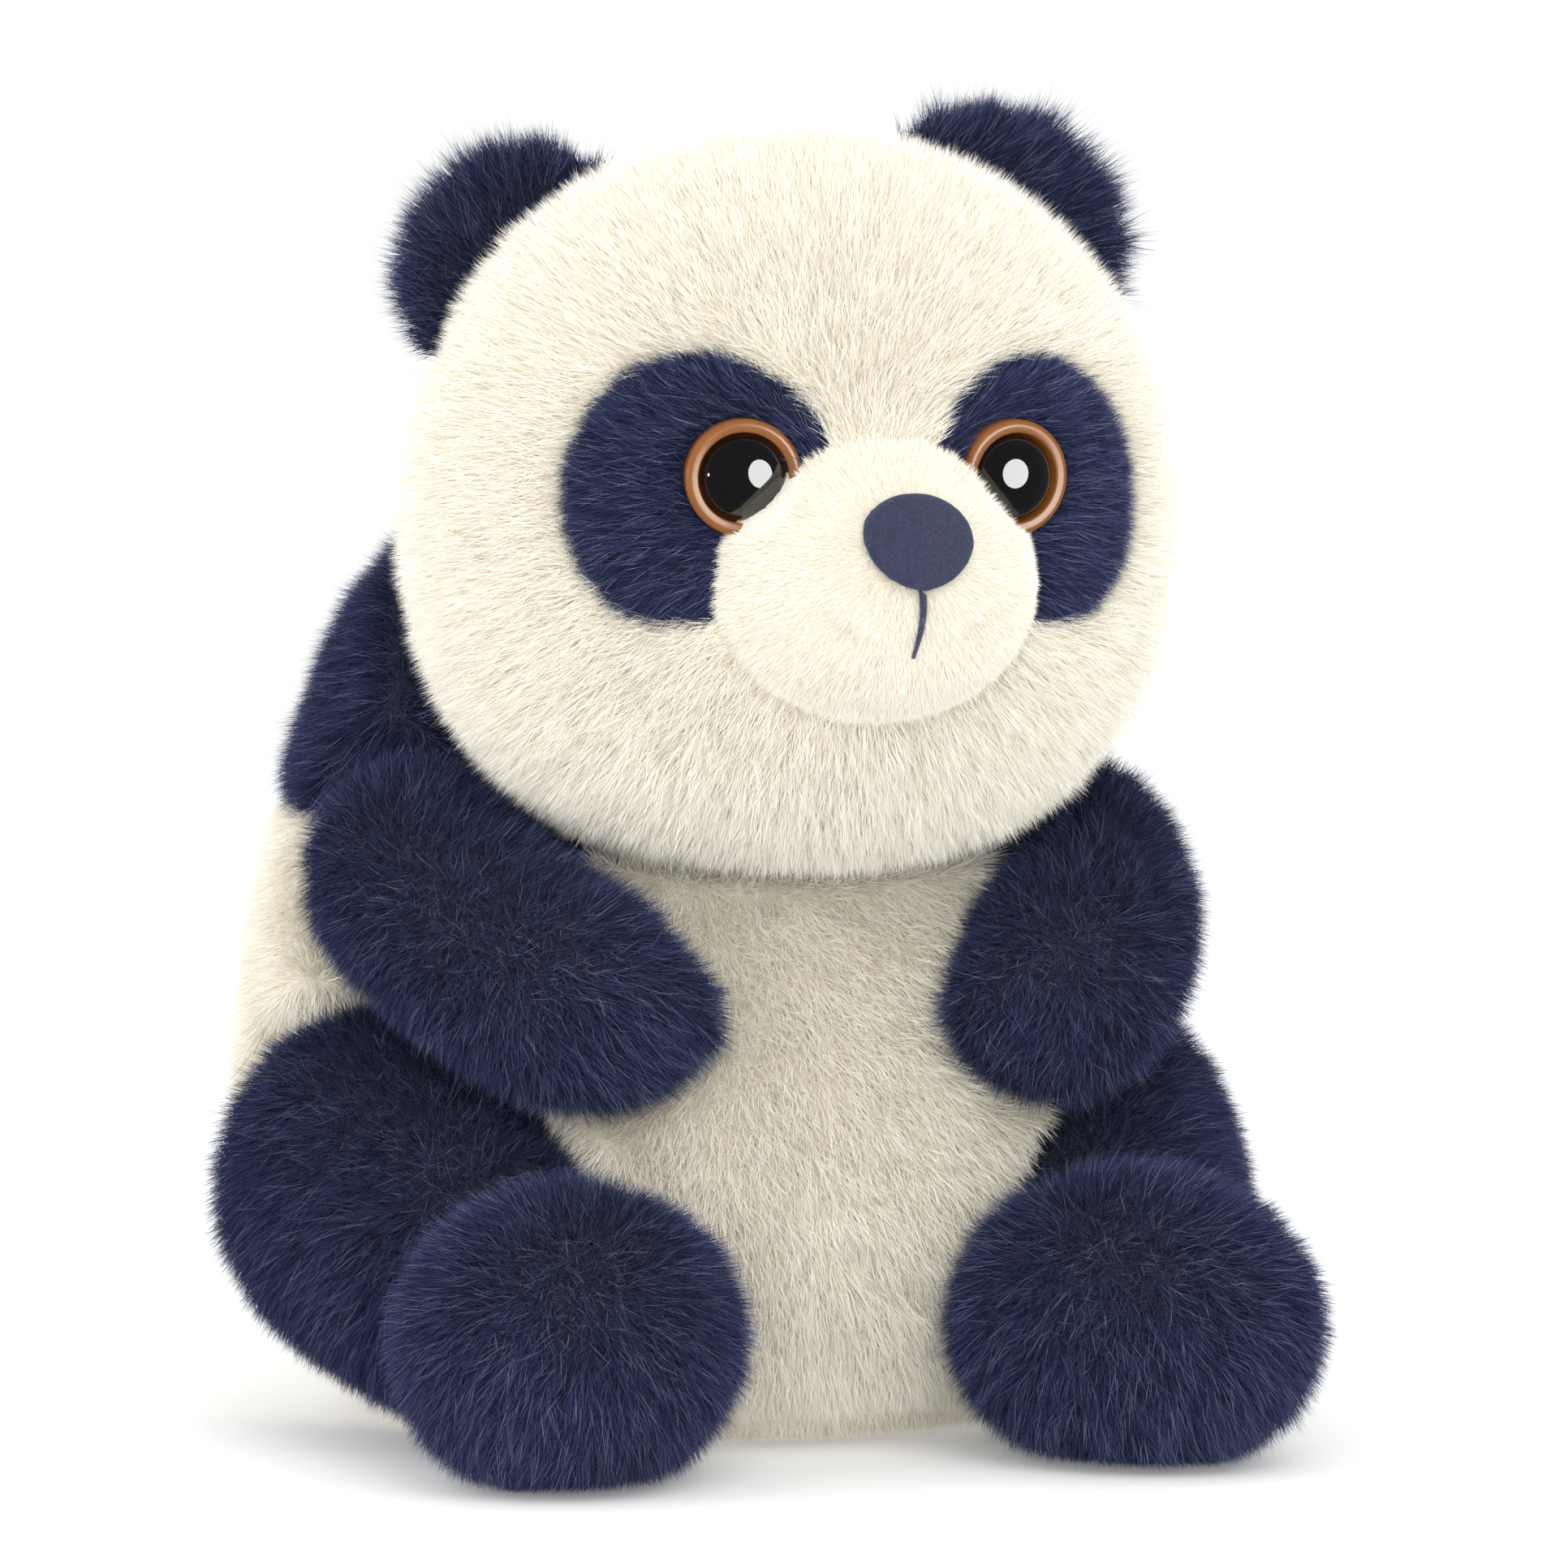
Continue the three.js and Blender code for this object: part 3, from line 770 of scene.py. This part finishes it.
def pile_tree():
    """Geometry nodes that stand fibres all over a cover, combed, clumped, bent and kept off the floor."""
    known = bpy.data.node_groups.get("pile")
    if known:
        return known
    tree = bpy.data.node_groups.new("pile", "GeometryNodeTree")
    for name, kind in (
        ("Cover", "Geometry"), ("Blade", "Object"), ("Per Area", "Float"), ("Length", "Float"),
        ("Width", "Float"), ("Lean", "Float"), ("Clump Size", "Float"), ("Clump Pull", "Float"),
        ("Bend", "Float"), ("Fleck Share", "Float"), ("Seed", "Int"), ("Root", "Material"), ("Middle", "Material"),
        ("Tip", "Material"), ("Fleck", "Material"),
    ):
        tree.interface.new_socket(name, in_out="INPUT", socket_type="NodeSocket" + kind)
    tree.interface.new_socket("Pile", in_out="OUTPUT", socket_type="NodeSocketGeometry")
    given = add(tree, "NodeGroupInput")
    seed = given["Seed"]
    growth = named(tree, "growth")
    density = given["Per Area"] * (growth > 0.02)
    scattered = add(tree, "GeometryNodeDistributePointsOnFaces", {"distribute_method": "RANDOM"},
                    {"Mesh": given["Cover"], "Density": density, "Seed": seed})
    comb = named(tree, "comb", "FLOAT_VECTOR")
    here = add(tree, "GeometryNodeInputPosition")[0]
    cloud = add(tree, "ShaderNodeTexNoise", {},
                {"Vector": here, "Scale": 1.0 / given["Clump Size"], "Detail": 2.0, "Roughness": 0.6})
    drift = vectors(tree, "SCALE", vectors(tree, "SUBTRACT", cloud["Color"], (0.5, 0.5, 0.5))[0],
                    given["Clump Pull"])[0]
    stray = random_value(tree, (-0.5,) * 3, (0.5,) * 3, seed, "FLOAT_VECTOR")
    loose = vectors(tree, "ADD", drift, stray)[0]
    leaning = vectors(tree, "ADD", vectors(tree, "SCALE", comb, given["Lean"])[0], loose)[0]
    way = vectors(tree, "ADD", scattered["Normal"], leaning)[0]
    turned = add(tree, "FunctionNodeAlignRotationToVector", {"axis": "Z"}, {"Vector": way})[0]
    spin = add(tree, "FunctionNodeAxisAngleToRotation", {},
               {"Axis": (0, 0, 1), "Angle": random_value(tree, 0.0, math.tau, seed + 7)})[0]
    turned = add(tree, "FunctionNodeRotateRotation", {"rotation_space": "LOCAL"}, {0: turned, 1: spin})[0]
    shade = random_value(tree, 0.0, 1.0, seed + 17)
    # A fibre's random shade also sets its length, so the darker fibres stand lower: painted shade deep in the
    # pile.
    tall = given["Length"] * growth * (shade * 0.45 + 0.65) * (cloud[0] * 0.9 + 0.55)
    wide = given["Width"] * random_value(tree, 0.7, 1.25, seed + 13)
    size = add(tree, "ShaderNodeCombineXYZ", {}, {0: wide, 1: wide, 2: tall})[0]
    kept = scattered["Points"]
    for name, value in (("tall", tall), ("shade", shade)):
        kept = add(tree, "GeometryNodeStoreNamedAttribute", {"data_type": "FLOAT", "domain": "POINT"},
                   {"Geometry": kept, "Name": name, "Value": value})[0]
    blade = add(tree, "GeometryNodeObjectInfo", {"transform_space": "ORIGINAL"},
                {"Object": given["Blade"]})["Geometry"]
    standing = add(tree, "GeometryNodeInstanceOnPoints", {},
                   {"Points": kept, "Instance": blade, "Rotation": turned, "Scale": size})[0]
    real = add(tree, "GeometryNodeRealizeInstances", {}, {"Geometry": standing})[0]
    up = named(tree, "up")
    reach = up * up * named(tree, "tall") * given["Bend"]
    bent = add(tree, "GeometryNodeSetPosition", {},
               {"Geometry": real, "Offset": vectors(tree, "SCALE", comb, reach)[0]})[0]
    spread = add(tree, "ShaderNodeSeparateXYZ", {}, {0: here})
    shade = named(tree, "shade")
    above = spread[2].math("MAXIMUM", spread[2], 0.0003 + shade * 0.0009)
    lifted = add(tree, "ShaderNodeCombineXYZ", {}, {0: spread[0], 1: spread[1], 2: above})[0]
    clear = add(tree, "GeometryNodeSetPosition", {}, {"Geometry": bent, "Position": lifted})[0]
    # Fibres take their colours by their random shade, partly a random tone. The lowest shades get the darker root
    # colour, painted shade deep in the pile. The highest get the lighter tip colour, painted light on the pile's
    # top. A few get the fleck colour.
    painted_shade_share, painted_light_from = 0.3, 0.72
    painted = add(tree, "GeometryNodeSetMaterial", {}, {"Geometry": clear, "Material": given["Root"]})[0]
    for chosen, material in (
        (shade > painted_shade_share, "Middle"), (shade > painted_light_from, "Tip"),
        (shade > (1.0 - given["Fleck Share"]), "Fleck"),
    ):
        painted = add(tree, "GeometryNodeSetMaterial", {},
                      {"Geometry": painted, "Selection": chosen, "Material": given[material]})[0]
    add(tree, "NodeGroupOutput", {}, {0: painted})
    return tree


def given_inputs(modifier, tree, values):
    """Sets a modifier's inputs by their sockets' identifiers."""
    for item in tree.interface.items_tree:
        if item.item_type == "SOCKET" and item.in_out == "INPUT" and item.name in values:
            modifier[item.identifier] = values[item.name]


def combed(out, way):
    """Combing directions, laid flat on the cover."""
    flat = way - out * np.sum(way * out, axis=1)[:, None]
    return flat / np.maximum(np.linalg.norm(flat, axis=1), 1e-6)[:, None]


searches = {}  # the search tree and the box of each finished skin


def searched(skin):
    if skin not in searches:
        mesh = skins[skin]
        places = coordinates(mesh)
        corners = [list(face.vertices) for face in mesh.polygons]
        tree = BVHTree.FromPolygons([Vector(p) for p in places], corners)
        searches[skin] = tree, places.min(0), places.max(0)
    return searches[skin]


def room_for(places, others, full):
    """How tall the pile may stand at each place: short where another cover presses, none inside it."""
    shortest, sunk, thin, free = 0.35, 0.2, 0.001, 1.2
    growth = np.ones(len(places))
    for other in others:
        tree, low, high = searched(other)
        close = np.all((places > low - 2 * full) & (places < high + 2 * full), axis=1)
        for i in np.nonzero(close)[0]:
            place = Vector(places[i])
            hit, normal, _, distance = tree.find_nearest(place)
            if (place - hit).dot(normal) < -0.5 * distance:  # well inside, not just past a thin rim
                growth[i] = 0.0 if distance > thin else min(growth[i], sunk)
            else:
                growth[i] = min(growth[i], shortest + (1.0 - shortest) * distance / (full * free))
    return growth


def clear_of_eyes(places):
    """No pile under the eyes: none near a ring's axis, close to the eye."""
    growth = np.ones(len(places))
    for side in SIDES:
        foot, axis = turned_axis(f"eye_dome_{side}")[:2]
        ring = turned_axis(f"eye_rim_{side}")[2]
        step = places - np.array(foot)
        along = step @ np.array(axis)
        across = np.linalg.norm(step - np.outer(along, axis), axis=1)
        growth *= (across > ring * 0.9) | (np.abs(along) > ring * 1.5)
    return growth


def piled(cover, name, colours, tall, way, body, node_slot, others=(), lean=0.5, bend=0.2, clump=0.005,
          pull=1.6, density=1.0, flecks=0.0, width=1.0, seed=1):
    """Grows the pile on one cover and makes it one plain mesh that rides with the cover's body."""
    pile = bpy.context.scene.panda_pile
    source = bpy.data.objects[cover]
    carrier = placed_object(name + " carrier", source.data.copy())
    mesh = carrier.data
    mesh.materials.clear()
    places, out = coordinates(mesh), normals(mesh)
    comb = mesh.attributes.new("comb", "FLOAT_VECTOR", "POINT")
    comb.data.foreach_set("vector", combed(out, way(places, out)).astype(np.float32).ravel())
    growth = room_for(places, others, tall)
    away = np.empty(len(places), np.float32)
    mesh.attributes["seam"].data.foreach_get("value", away)
    in_seam, seam_reach = 0.72, 0.004
    growth = growth * (in_seam + (1.0 - in_seam) * np.minimum(away / seam_reach, 1.0))
    if body == "head":
        growth *= clear_of_eyes(places)
    grown = mesh.attributes.new("growth", "FLOAT", "POINT")
    grown.data.foreach_set("value", growth.astype(np.float32))
    tree = pile_tree()
    modifier = carrier.modifiers.new("Pile", "NODES")
    modifier.node_group = tree
    given_inputs(modifier, tree, {
        "Blade": fibre_blade(), "Per Area": pile.per_area * 1e6 * density, "Length": tall,
        "Width": pile.width * width, "Lean": lean, "Clump Size": clump, "Clump Pull": pull, "Bend": bend,
        "Fleck Share": flecks, "Seed": seed, "Root": finish(colours[0]), "Middle": finish(colours[1]),
        "Tip": finish(colours[2]), "Fleck": finish(colours[3]),
    })
    grown_mesh = plain_mesh(carrier)
    for attribute in ("comb", "growth", "seam", "up", "tall", "shade"):
        if attribute in grown_mesh.attributes:
            grown_mesh.attributes.remove(grown_mesh.attributes[attribute])
    piece = placed_object(name, grown_mesh)
    ridden(piece, body, node_slot)
    return piece


# Root: darker, painted shade deep in the pile. Middle: the pile's own colour. Tip: lighter, painted light on the
# pile's top. Fleck: a few bright fibres at random.
CREAM = ("cream root painted shade", "cream", "cream tip painted light", "cream tip painted light")
NAVY = ("navy root painted shade", "navy", "navy tip painted light", "navy fleck")


def away_from(point, fall=0.0):
    """Combs outwards from a point, and a little downwards."""
    start = np.array(point)

    def way(places, out):
        step = places - start
        step /= np.maximum(np.linalg.norm(step, axis=1), 1e-6)[:, None]
        return step + np.array([0, 0, -fall])
    return way


def towards(heading):
    """Combs everywhere the same way."""
    def way(places, out):
        return np.tile(np.array(heading, float), (len(places), 1))
    return way


class PANDA_OT_head_pile(bpy.types.Operator):
    """Grows the pile of the head, the muzzle and the eye patches"""
    bl_idname = "panda.head_pile"
    bl_label = "Head pile"

    def execute(self, context):
        pile = context.scene.panda_pile
        nose = middle("nose")
        around = ["ear_right", "ear_left", "torso", "arm_right", "arm_left"]
        piled("face_plush", "face_pile", CREAM, pile.cream_length, away_from(nose, 0.25), "head",
              "cream_pile", around, seed=11)
        piled("head_back_plush", "head_back_pile", CREAM, pile.cream_length, away_from(nose, 0.5), "head",
              "cream_pile", ["ear_right", "ear_left", "torso"], seed=12, density=0.7)
        piled("muzzle_plush", "muzzle_pile", CREAM, pile.muzzle_length, away_from(nose), "head", "short_pile",
              lean=0.9, clump=0.003, pull=0.5, density=2.2, width=0.65, seed=13)
        for k, side in enumerate(SIDES):
            piled(f"eye_patch_plush_{side}", f"eye_patch_pile_{side}", NAVY, pile.patch_length,
                  away_from(nose, 0.25), "head", "navy_pile", lean=0.8, density=1.5, flecks=0.05, seed=14 + k)
        return {"FINISHED"}


class PANDA_OT_ear_pile(bpy.types.Operator):
    """Grows the long pile of the ears"""
    bl_idname = "panda.ear_pile"
    bl_label = "Ear pile"

    def execute(self, context):
        pile = context.scene.panda_pile
        for k, side in enumerate(SIDES):
            low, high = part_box(f"ear_front_{side}")
            inner = low.x * 0.15 + high.x * 0.85 if side == "right" else low.x * 0.85 + high.x * 0.15
            base = (inner, high.y, low.z + (high.z - low.z) * 0.2)
            for n, layer in enumerate(("front", "back")):
                piled(f"ear_{layer}_plush_{side}", f"ear_{layer}_pile_{side}", NAVY, pile.ear_length,
                      away_from(base), f"ear_{side}", "navy_pile", ["head"], lean=0.9, density=1.5,
                      flecks=0.06, seed=21 + 2 * k + n)
        return {"FINISHED"}


class PANDA_OT_limb_pile(bpy.types.Operator):
    """Grows the pile of the arms, the legs and the feet"""
    bl_idname = "panda.limb_pile"
    bl_label = "Arm, leg and foot pile"

    def execute(self, context):
        pile = context.scene.panda_pile
        for k, (side, sign) in enumerate(zip(SIDES, (-1, 1))):
            limbs = (
                ("arm", (-sign * 0.5, -0.8, -0.6), ["torso", "head", f"leg_{side}"], 0.95, 0.05, 31),
                ("leg", (sign * 0.2, -0.5, -0.8), ["torso", f"foot_{side}", f"arm_{side}"], 0.85, 0.05, 33),
                ("foot", (sign * 0.3, -0.2, -0.9), [f"leg_{side}", "torso"], 1.0, 0.06, 35),
            )
            for part, heading, around, density, flecks, seed in limbs:
                body = f"leg_{side}" if part == "foot" else f"{part}_{side}"
                piled(f"{part}_plush_{side}", f"{part}_pile_{side}", NAVY, pile.navy_length, towards(heading),
                      body, "navy_pile", around, pull=2.2, density=density, flecks=flecks, seed=seed + k)
        return {"FINISHED"}


class PANDA_OT_body_pile(bpy.types.Operator):
    """Grows the pile of the body and the tail"""
    bl_idname = "panda.body_pile"
    bl_label = "Body pile"

    def execute(self, context):
        pile = context.scene.panda_pile
        around = ["head", "arm_right", "arm_left", "leg_right", "leg_left", "foot_right", "foot_left"]
        for k, (cover, colours, node_slot, tall, density) in enumerate((
            ("shoulder_yoke", NAVY, "navy_pile", pile.navy_length, 0.8),
            ("chest_band", NAVY, "navy_pile", pile.navy_length, 1.0),
            ("belly", CREAM, "cream_pile", pile.cream_length, 1.0),
            ("back", CREAM, "cream_pile", pile.cream_length, 0.65),
            ("seat", CREAM, "cream_pile", pile.cream_length * 0.6, 0.4),
        )):
            piled(f"{cover}_plush", f"{cover}_pile", colours, tall, towards((0, 0, -1)), "torso", node_slot,
                  around, density=density, flecks=0.05, seed=41 + k)
        piled("tail_plush", "tail_pile", CREAM, pile.cream_length, towards((0, 0.3, -1)), "torso",
              "cream_pile", ["torso"], seed=47)
        return {"FINISHED"}


# ---- eyes, nose and mouth ------------------------------------------------------------------------
def turned_axis(node):
    """The foot, the direction and the sizes of a turned CAD node that faces forwards."""
    points = np.array([v.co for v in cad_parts[node].data.vertices], float)
    points = np.unique(points.round(7), axis=0)
    centre = points.mean(0)
    _, ways = np.linalg.eigh(np.cov((points - centre).T))
    axis = ways[:, 0] if ways[1, 0] < 0 else -ways[:, 0]
    along = (points - centre) @ axis
    across = points - centre - np.outer(along, axis)
    foot = centre + axis * along.min()
    return Vector(foot), Vector(axis), float(np.linalg.norm(across, axis=1).max()), float(np.ptp(along))


def spun(name, profile, foot, axis, segments, *materials):
    """Spins a profile of (radius, height) pairs about an axis that leaves its foot."""
    turn = Vector((0, 0, 1)).rotation_difference(axis).to_matrix().to_4x4()
    place = Matrix.Translation(foot) @ turn
    points, faces = [], []
    rings = []
    for radius, height in profile:
        if radius < 1e-7:
            rings.append([len(points)])
            points.append(place @ Vector((0, 0, height)))
            continue
        rings.append([len(points) + i for i in range(segments)])
        for i in range(segments):
            angle = math.tau * i / segments
            points.append(place @ Vector((radius * math.cos(angle), radius * math.sin(angle), height)))
    for low, high in zip(rings, rings[1:]):
        for i in range(segments):
            j = (i + 1) % segments
            corners = [low[i % len(low)], low[j % len(low)], high[j % len(high)], high[i % len(high)]]
            corners = list(dict.fromkeys(corners))
            if len(corners) > 2:
                faces.append(corners)
    return placed_object(name, outward(meshed(name, points, faces)), *materials)


def outward(mesh):
    """Turns the faces of a closed mesh outwards."""
    work = bmesh.new()
    work.from_mesh(mesh)
    bmesh.ops.remove_doubles(work, verts=work.verts, dist=1e-7)
    bmesh.ops.recalc_face_normals(work, faces=work.faces)
    work.to_mesh(mesh)
    work.free()
    mesh.shade_smooth()
    return mesh


def arc(centre, radius, start, end, steps):
    """Points on an arc in the profile's plane, angles in degrees from the radius axis."""
    angles = [math.radians(start + (end - start) * i / steps) for i in range(steps + 1)]
    return [(centre[0] + radius * math.cos(a), centre[1] + radius * math.sin(a)) for a in angles]


class PANDA_OT_eyes(bpy.types.Operator):
    """Builds the amber rings and the glossy black domes of the eyes"""
    bl_idname = "panda.eyes"
    bl_label = "Eyes"

    def execute(self, context):
        for side in SIDES:
            foot, axis, radius, height = turned_axis(f"eye_dome_{side}")
            crown, steps = 0.92 * height, 16
            dome = [(0.0, 0.0), (radius, 0.0), (radius, height - crown)]
            for i in range(1, steps + 1):
                angle = i / steps * math.pi / 2
                across = radius * math.cos(angle) if i < steps else 0.0
                dome.append((across, height - crown + crown * math.sin(angle)))
            piece = spun(f"eye_dome_gloss_{side}", dome, foot, axis, 64, finish("black gloss"))
            ridden(piece, "head", "eye_black", f"eye_dome_{side}")
            ring = turned_axis(f"eye_rim_{side}")[2]
            inner = radius + 0.25 * MM
            top, bottom, edge, floor = 2.9 * MM, -2.1 * MM, 1.1 * MM, -0.3 * MM
            post, post_end = 2.0 * MM, bottom - 9.3 * MM
            profile = [(0.0, post_end), (0.95 * post, post_end), (post, post_end + 0.2 * MM), (post, bottom)]
            profile += [(ring - edge, bottom), *arc((ring - edge, bottom + edge), edge, -60, 0, 4)]
            profile += arc((ring - 1.1 * edge, top - 1.1 * edge), 1.1 * edge, 0, 90, 8)
            profile += arc((inner + 0.0004, top - 0.0006), 0.0004, 90, 180, 4)
            profile += [(inner, floor), (0.0, floor)]
            piece = spun(f"eye_ring_{side}", profile, foot, axis, 72, finish("amber plastic"))
            ridden(piece, "head", "eye_amber", f"eye_rim_{side}")
            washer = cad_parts[f"eye_washer_{side}"]
            washer.data.materials.clear()
            washer.data.materials.append(finish("washer nylon"))
        return {"FINISHED"}


class PANDA_OT_nose(bpy.types.Operator):
    """Builds the felt nose, a rounded triangle with a turned edge"""
    bl_idname = "panda.nose"
    bl_label = "Nose"
    crown: length("Crown", "How much higher the nose stands in its middle", 0.0010)

    def execute(self, context):
        mesh = remeshed("nose_felt", ["nose"], 0.0005, 4)
        relaxed(mesh, 10, 0.5)
        low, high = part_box("nose")
        places = coordinates(mesh)
        half, mid = (high.x - low.x) / 2, (low.z + high.z) / 2
        top = np.clip((places[:, 2] - mid) / (high.z - mid), 0.0, 1.0)
        places[:, 0] *= 1.0 - 0.18 * top ** 2
        places[:, 2] += self.crown * top * (1.0 - (places[:, 0] / half) ** 2)
        set_coordinates(mesh, places)
        piece = placed_object("nose_felt", mesh, finish("felt"))
        ridden(piece, "head", "nose_felt", "nose")
        return {"FINISHED"}


def stitch_tree():
    """Geometry nodes that lay slanted satin stitches side by side along a line."""
    tree = bpy.data.node_groups.new("satin stitch", "GeometryNodeTree")
    for name, kind in (("Line", "Geometry"), ("Spacing", "Float"), ("Thread", "Float"), ("Slant", "Float"),
                       ("Finish", "Material")):
        tree.interface.new_socket(name, in_out="INPUT", socket_type="NodeSocket" + kind)
    tree.interface.new_socket("Stitches", in_out="OUTPUT", socket_type="NodeSocketGeometry")
    given = add(tree, "NodeGroupInput")
    line = add(tree, "GeometryNodeMeshToCurve", {}, {"Mesh": given["Line"]})[0]
    spots = add(tree, "GeometryNodeCurveToPoints", {"mode": "LENGTH"},
                {"Curve": line, "Length": given["Spacing"]})
    thread = add(tree, "GeometryNodeMeshUVSphere", {}, {"Segments": 8, "Rings": 6, "Radius": 0.5})["Mesh"]
    slanted = add(tree, "FunctionNodeAxisAngleToRotation", {},
                  {"Axis": (0, 1, 0), "Angle": given["Slant"]})[0]
    wide = named(tree, "wide")
    size = add(tree, "ShaderNodeCombineXYZ", {}, {0: wide, 1: given["Thread"] * 1.2, 2: given["Thread"]})[0]
    laid = add(tree, "GeometryNodeInstanceOnPoints", {},
               {"Points": spots["Points"], "Instance": thread, "Rotation": slanted, "Scale": size})[0]
    real = add(tree, "GeometryNodeRealizeInstances", {}, {"Geometry": laid})[0]
    painted = add(tree, "GeometryNodeSetMaterial", {}, {"Geometry": real, "Material": given["Finish"]})[0]
    add(tree, "NodeGroupOutput", {}, {0: painted})
    return tree


class PANDA_OT_mouth(bpy.types.Operator):
    """Sews the mouth's short tapering line below the nose"""
    bl_idname = "panda.mouth"
    bl_label = "Mouth"

    def execute(self, context):
        face = context.scene.panda_face
        low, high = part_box("mouth_stitch")
        tree = searched("head")[0]
        steps, above, raised, root, taper = 24, 0.001, 0.0015, 0.0021, 0.0013
        points = []
        for i in range(steps + 1):
            share = i / steps
            z = high.z + above - (high.z - low.z + above) * share
            hit = tree.ray_cast(Vector((0, -OUTSIDE, z)), Vector((0, 1, 0)))[0]
            points.append((0.0003 * math.sin(4 * share), hit.y - raised, z))
        line = bpy.data.meshes.new("mouth line")
        line.from_pydata(points, [(i, i + 1) for i in range(steps)], [])
        wide = line.attributes.new("wide", "FLOAT", "POINT")
        wide.data.foreach_set("value", [root - taper * i / steps for i in range(steps + 1)])
        carrier = placed_object("mouth carrier", line)
        nodes = stitch_tree()
        modifier = carrier.modifiers.new("Stitches", "NODES")
        modifier.node_group = nodes
        given_inputs(modifier, nodes, {
            "Spacing": face.thread_width * 0.75, "Thread": face.thread_width, "Slant": math.radians(38),
            "Finish": finish("mouth thread"),
        })
        made = plain_mesh(carrier)
        made.shade_smooth()
        piece = placed_object("mouth_thread", made)
        ridden(piece, "head", "mouth_thread", "mouth_stitch")
        return {"FINISHED"}


# ---- stage ---------------------------------------------------------------------------------------
def direction(azimuth, elevation):
    """Which way a camera or a light lies from the toy, by two angles in degrees."""
    turn, height = math.radians(azimuth), math.radians(elevation)
    return Vector((math.sin(turn) * math.cos(height), -math.cos(turn) * math.cos(height), math.sin(height)))


class PANDA_OT_stage(bpy.types.Operator):
    """Sets up the floor, the lights and the camera"""
    bl_idname = "panda.stage"
    bl_label = "Stage"

    def execute(self, context):
        stage = context.scene.panda_stage
        half = 3.0
        corners = [(-half, -half, 0), (half, -half, 0), (half, half, 0), (-half, half, 0)]
        floor = placed_object("floor", meshed("floor", corners, [(0, 1, 2, 3)]))
        material, tree, shader = surfaced(
            "studio floor", Roughness=0.9, Emission_Color=rgba((1, 1, 1)), Emission_Strength=0.2
        )
        mottled(tree, shader, noise(tree, 40.0), stage.floor, scaled(stage.floor, 1.01))
        floor.data.materials.append(material)
        floor.visible_glossy = False
        angle = math.radians(stage.azimuth)
        back = direction(stage.azimuth, stage.elevation)
        right = Vector((math.cos(angle), math.sin(angle), 0))
        up = right.cross(-back)
        middle_of_toy, aside, below = Vector((0, -0.0034, 0.125)), 0.007, 0.0052
        target = middle_of_toy + right * aside - up * below
        camera = bpy.data.cameras.new("camera")
        camera.sensor_width = 36.0
        camera.lens = camera.sensor_width * stage.distance / stage.view_width
        camera.clip_start, camera.clip_end = 0.05, 20.0
        seen = bpy.data.objects.new("camera", camera)
        context.scene.collection.objects.link(seen)
        seen.location = target + back * stage.distance
        seen.rotation_mode = "QUATERNION"
        seen.rotation_quaternion = (-back).to_track_quat("-Z", "Y")
        context.scene.camera = seen
        self.lit("key", -2, 34, 1.5, 0.9, 7.5, "SQUARE").visible_glossy = False
        self.lit("front", -14, 3, 1.6, 1.0, 7, "SQUARE").visible_glossy = False
        self.lit("fill", -70, 25, 1.6, 1.1, 4, "SQUARE").visible_glossy = False
        self.lit("eye light", 22, 2, 1.2, 1.0, 24, "DISK").visible_diffuse = False
        self.lit("spark", -84, 2, 1.3, 0.12, 1.2, "DISK")
        world = bpy.data.worlds.new("studio")
        context.scene.world = world
        world.use_nodes = True
        sky = world.node_tree
        path = add(sky, "ShaderNodeLightPath")
        behind = sky.nodes["Background"]
        behind.inputs[0].default_value = (1, 1, 1, 1)
        strength = 1.0 - path["Is Glossy Ray"] * 0.9
        sky.links.new(strength.socket, behind.inputs["Strength"])
        context.scene.view_settings.view_transform = "Standard"
        return {"FINISHED"}

    def lit(self, name, azimuth, elevation, distance, size, power, shape):
        """An area light that looks at the toy's middle."""
        light = bpy.data.lights.new(name, "AREA")
        light.shape, light.size, light.energy = shape, size, power
        made = bpy.data.objects.new(name, light)
        bpy.context.scene.collection.objects.link(made)
        way = direction(azimuth, elevation)
        made.location = Vector((0, 0, 0.14)) + way * distance
        made.rotation_mode = "QUATERNION"
        made.rotation_quaternion = (-way).to_track_quat("-Z", "Y")
        return made


STEPS = (
    PANDA_OT_head, PANDA_OT_ears, PANDA_OT_arms, PANDA_OT_legs, PANDA_OT_body, PANDA_OT_tail,
    PANDA_OT_bags, PANDA_OT_head_pile, PANDA_OT_ear_pile, PANDA_OT_limb_pile, PANDA_OT_body_pile,
    PANDA_OT_eyes, PANDA_OT_nose, PANDA_OT_mouth, PANDA_OT_stage,
)
GROUPS = {
    "panda_covers": PandaCovers, "panda_pile": PandaPile, "panda_face": PandaFace, "panda_stage": PandaStage,
}


class PANDA_PT_panel(bpy.types.Panel):
    """Lists the panda's pieces and their sizes"""
    bl_idname = "PANDA_PT_panel"
    bl_label = "Plush panda"
    bl_space_type = "VIEW_3D"
    bl_region_type = "UI"
    bl_category = "Panda"

    def draw(self, context):
        for step in STEPS:
            self.layout.operator(step.bl_idname)
        for name, group in GROUPS.items():
            box = self.layout.box()
            for key in group.__annotations__:
                box.prop(getattr(context.scene, name), key)


def register():
    for group in GROUPS.values():
        bpy.utils.register_class(group)
    for name, group in GROUPS.items():
        setattr(bpy.types.Scene, name, PointerProperty(type=group))
    for step in (*STEPS, PANDA_PT_panel):
        bpy.utils.register_class(step)


def unregister():
    for step in (PANDA_PT_panel, *reversed(STEPS)):
        bpy.utils.unregister_class(step)
    for name, group in GROUPS.items():
        delattr(bpy.types.Scene, name)
        bpy.utils.unregister_class(group)


def main():
    register()
    for step in STEPS:
        family, name = step.bl_idname.split(".")
        getattr(getattr(bpy.ops, family), name)()


if __name__ == "__main__":
    main()
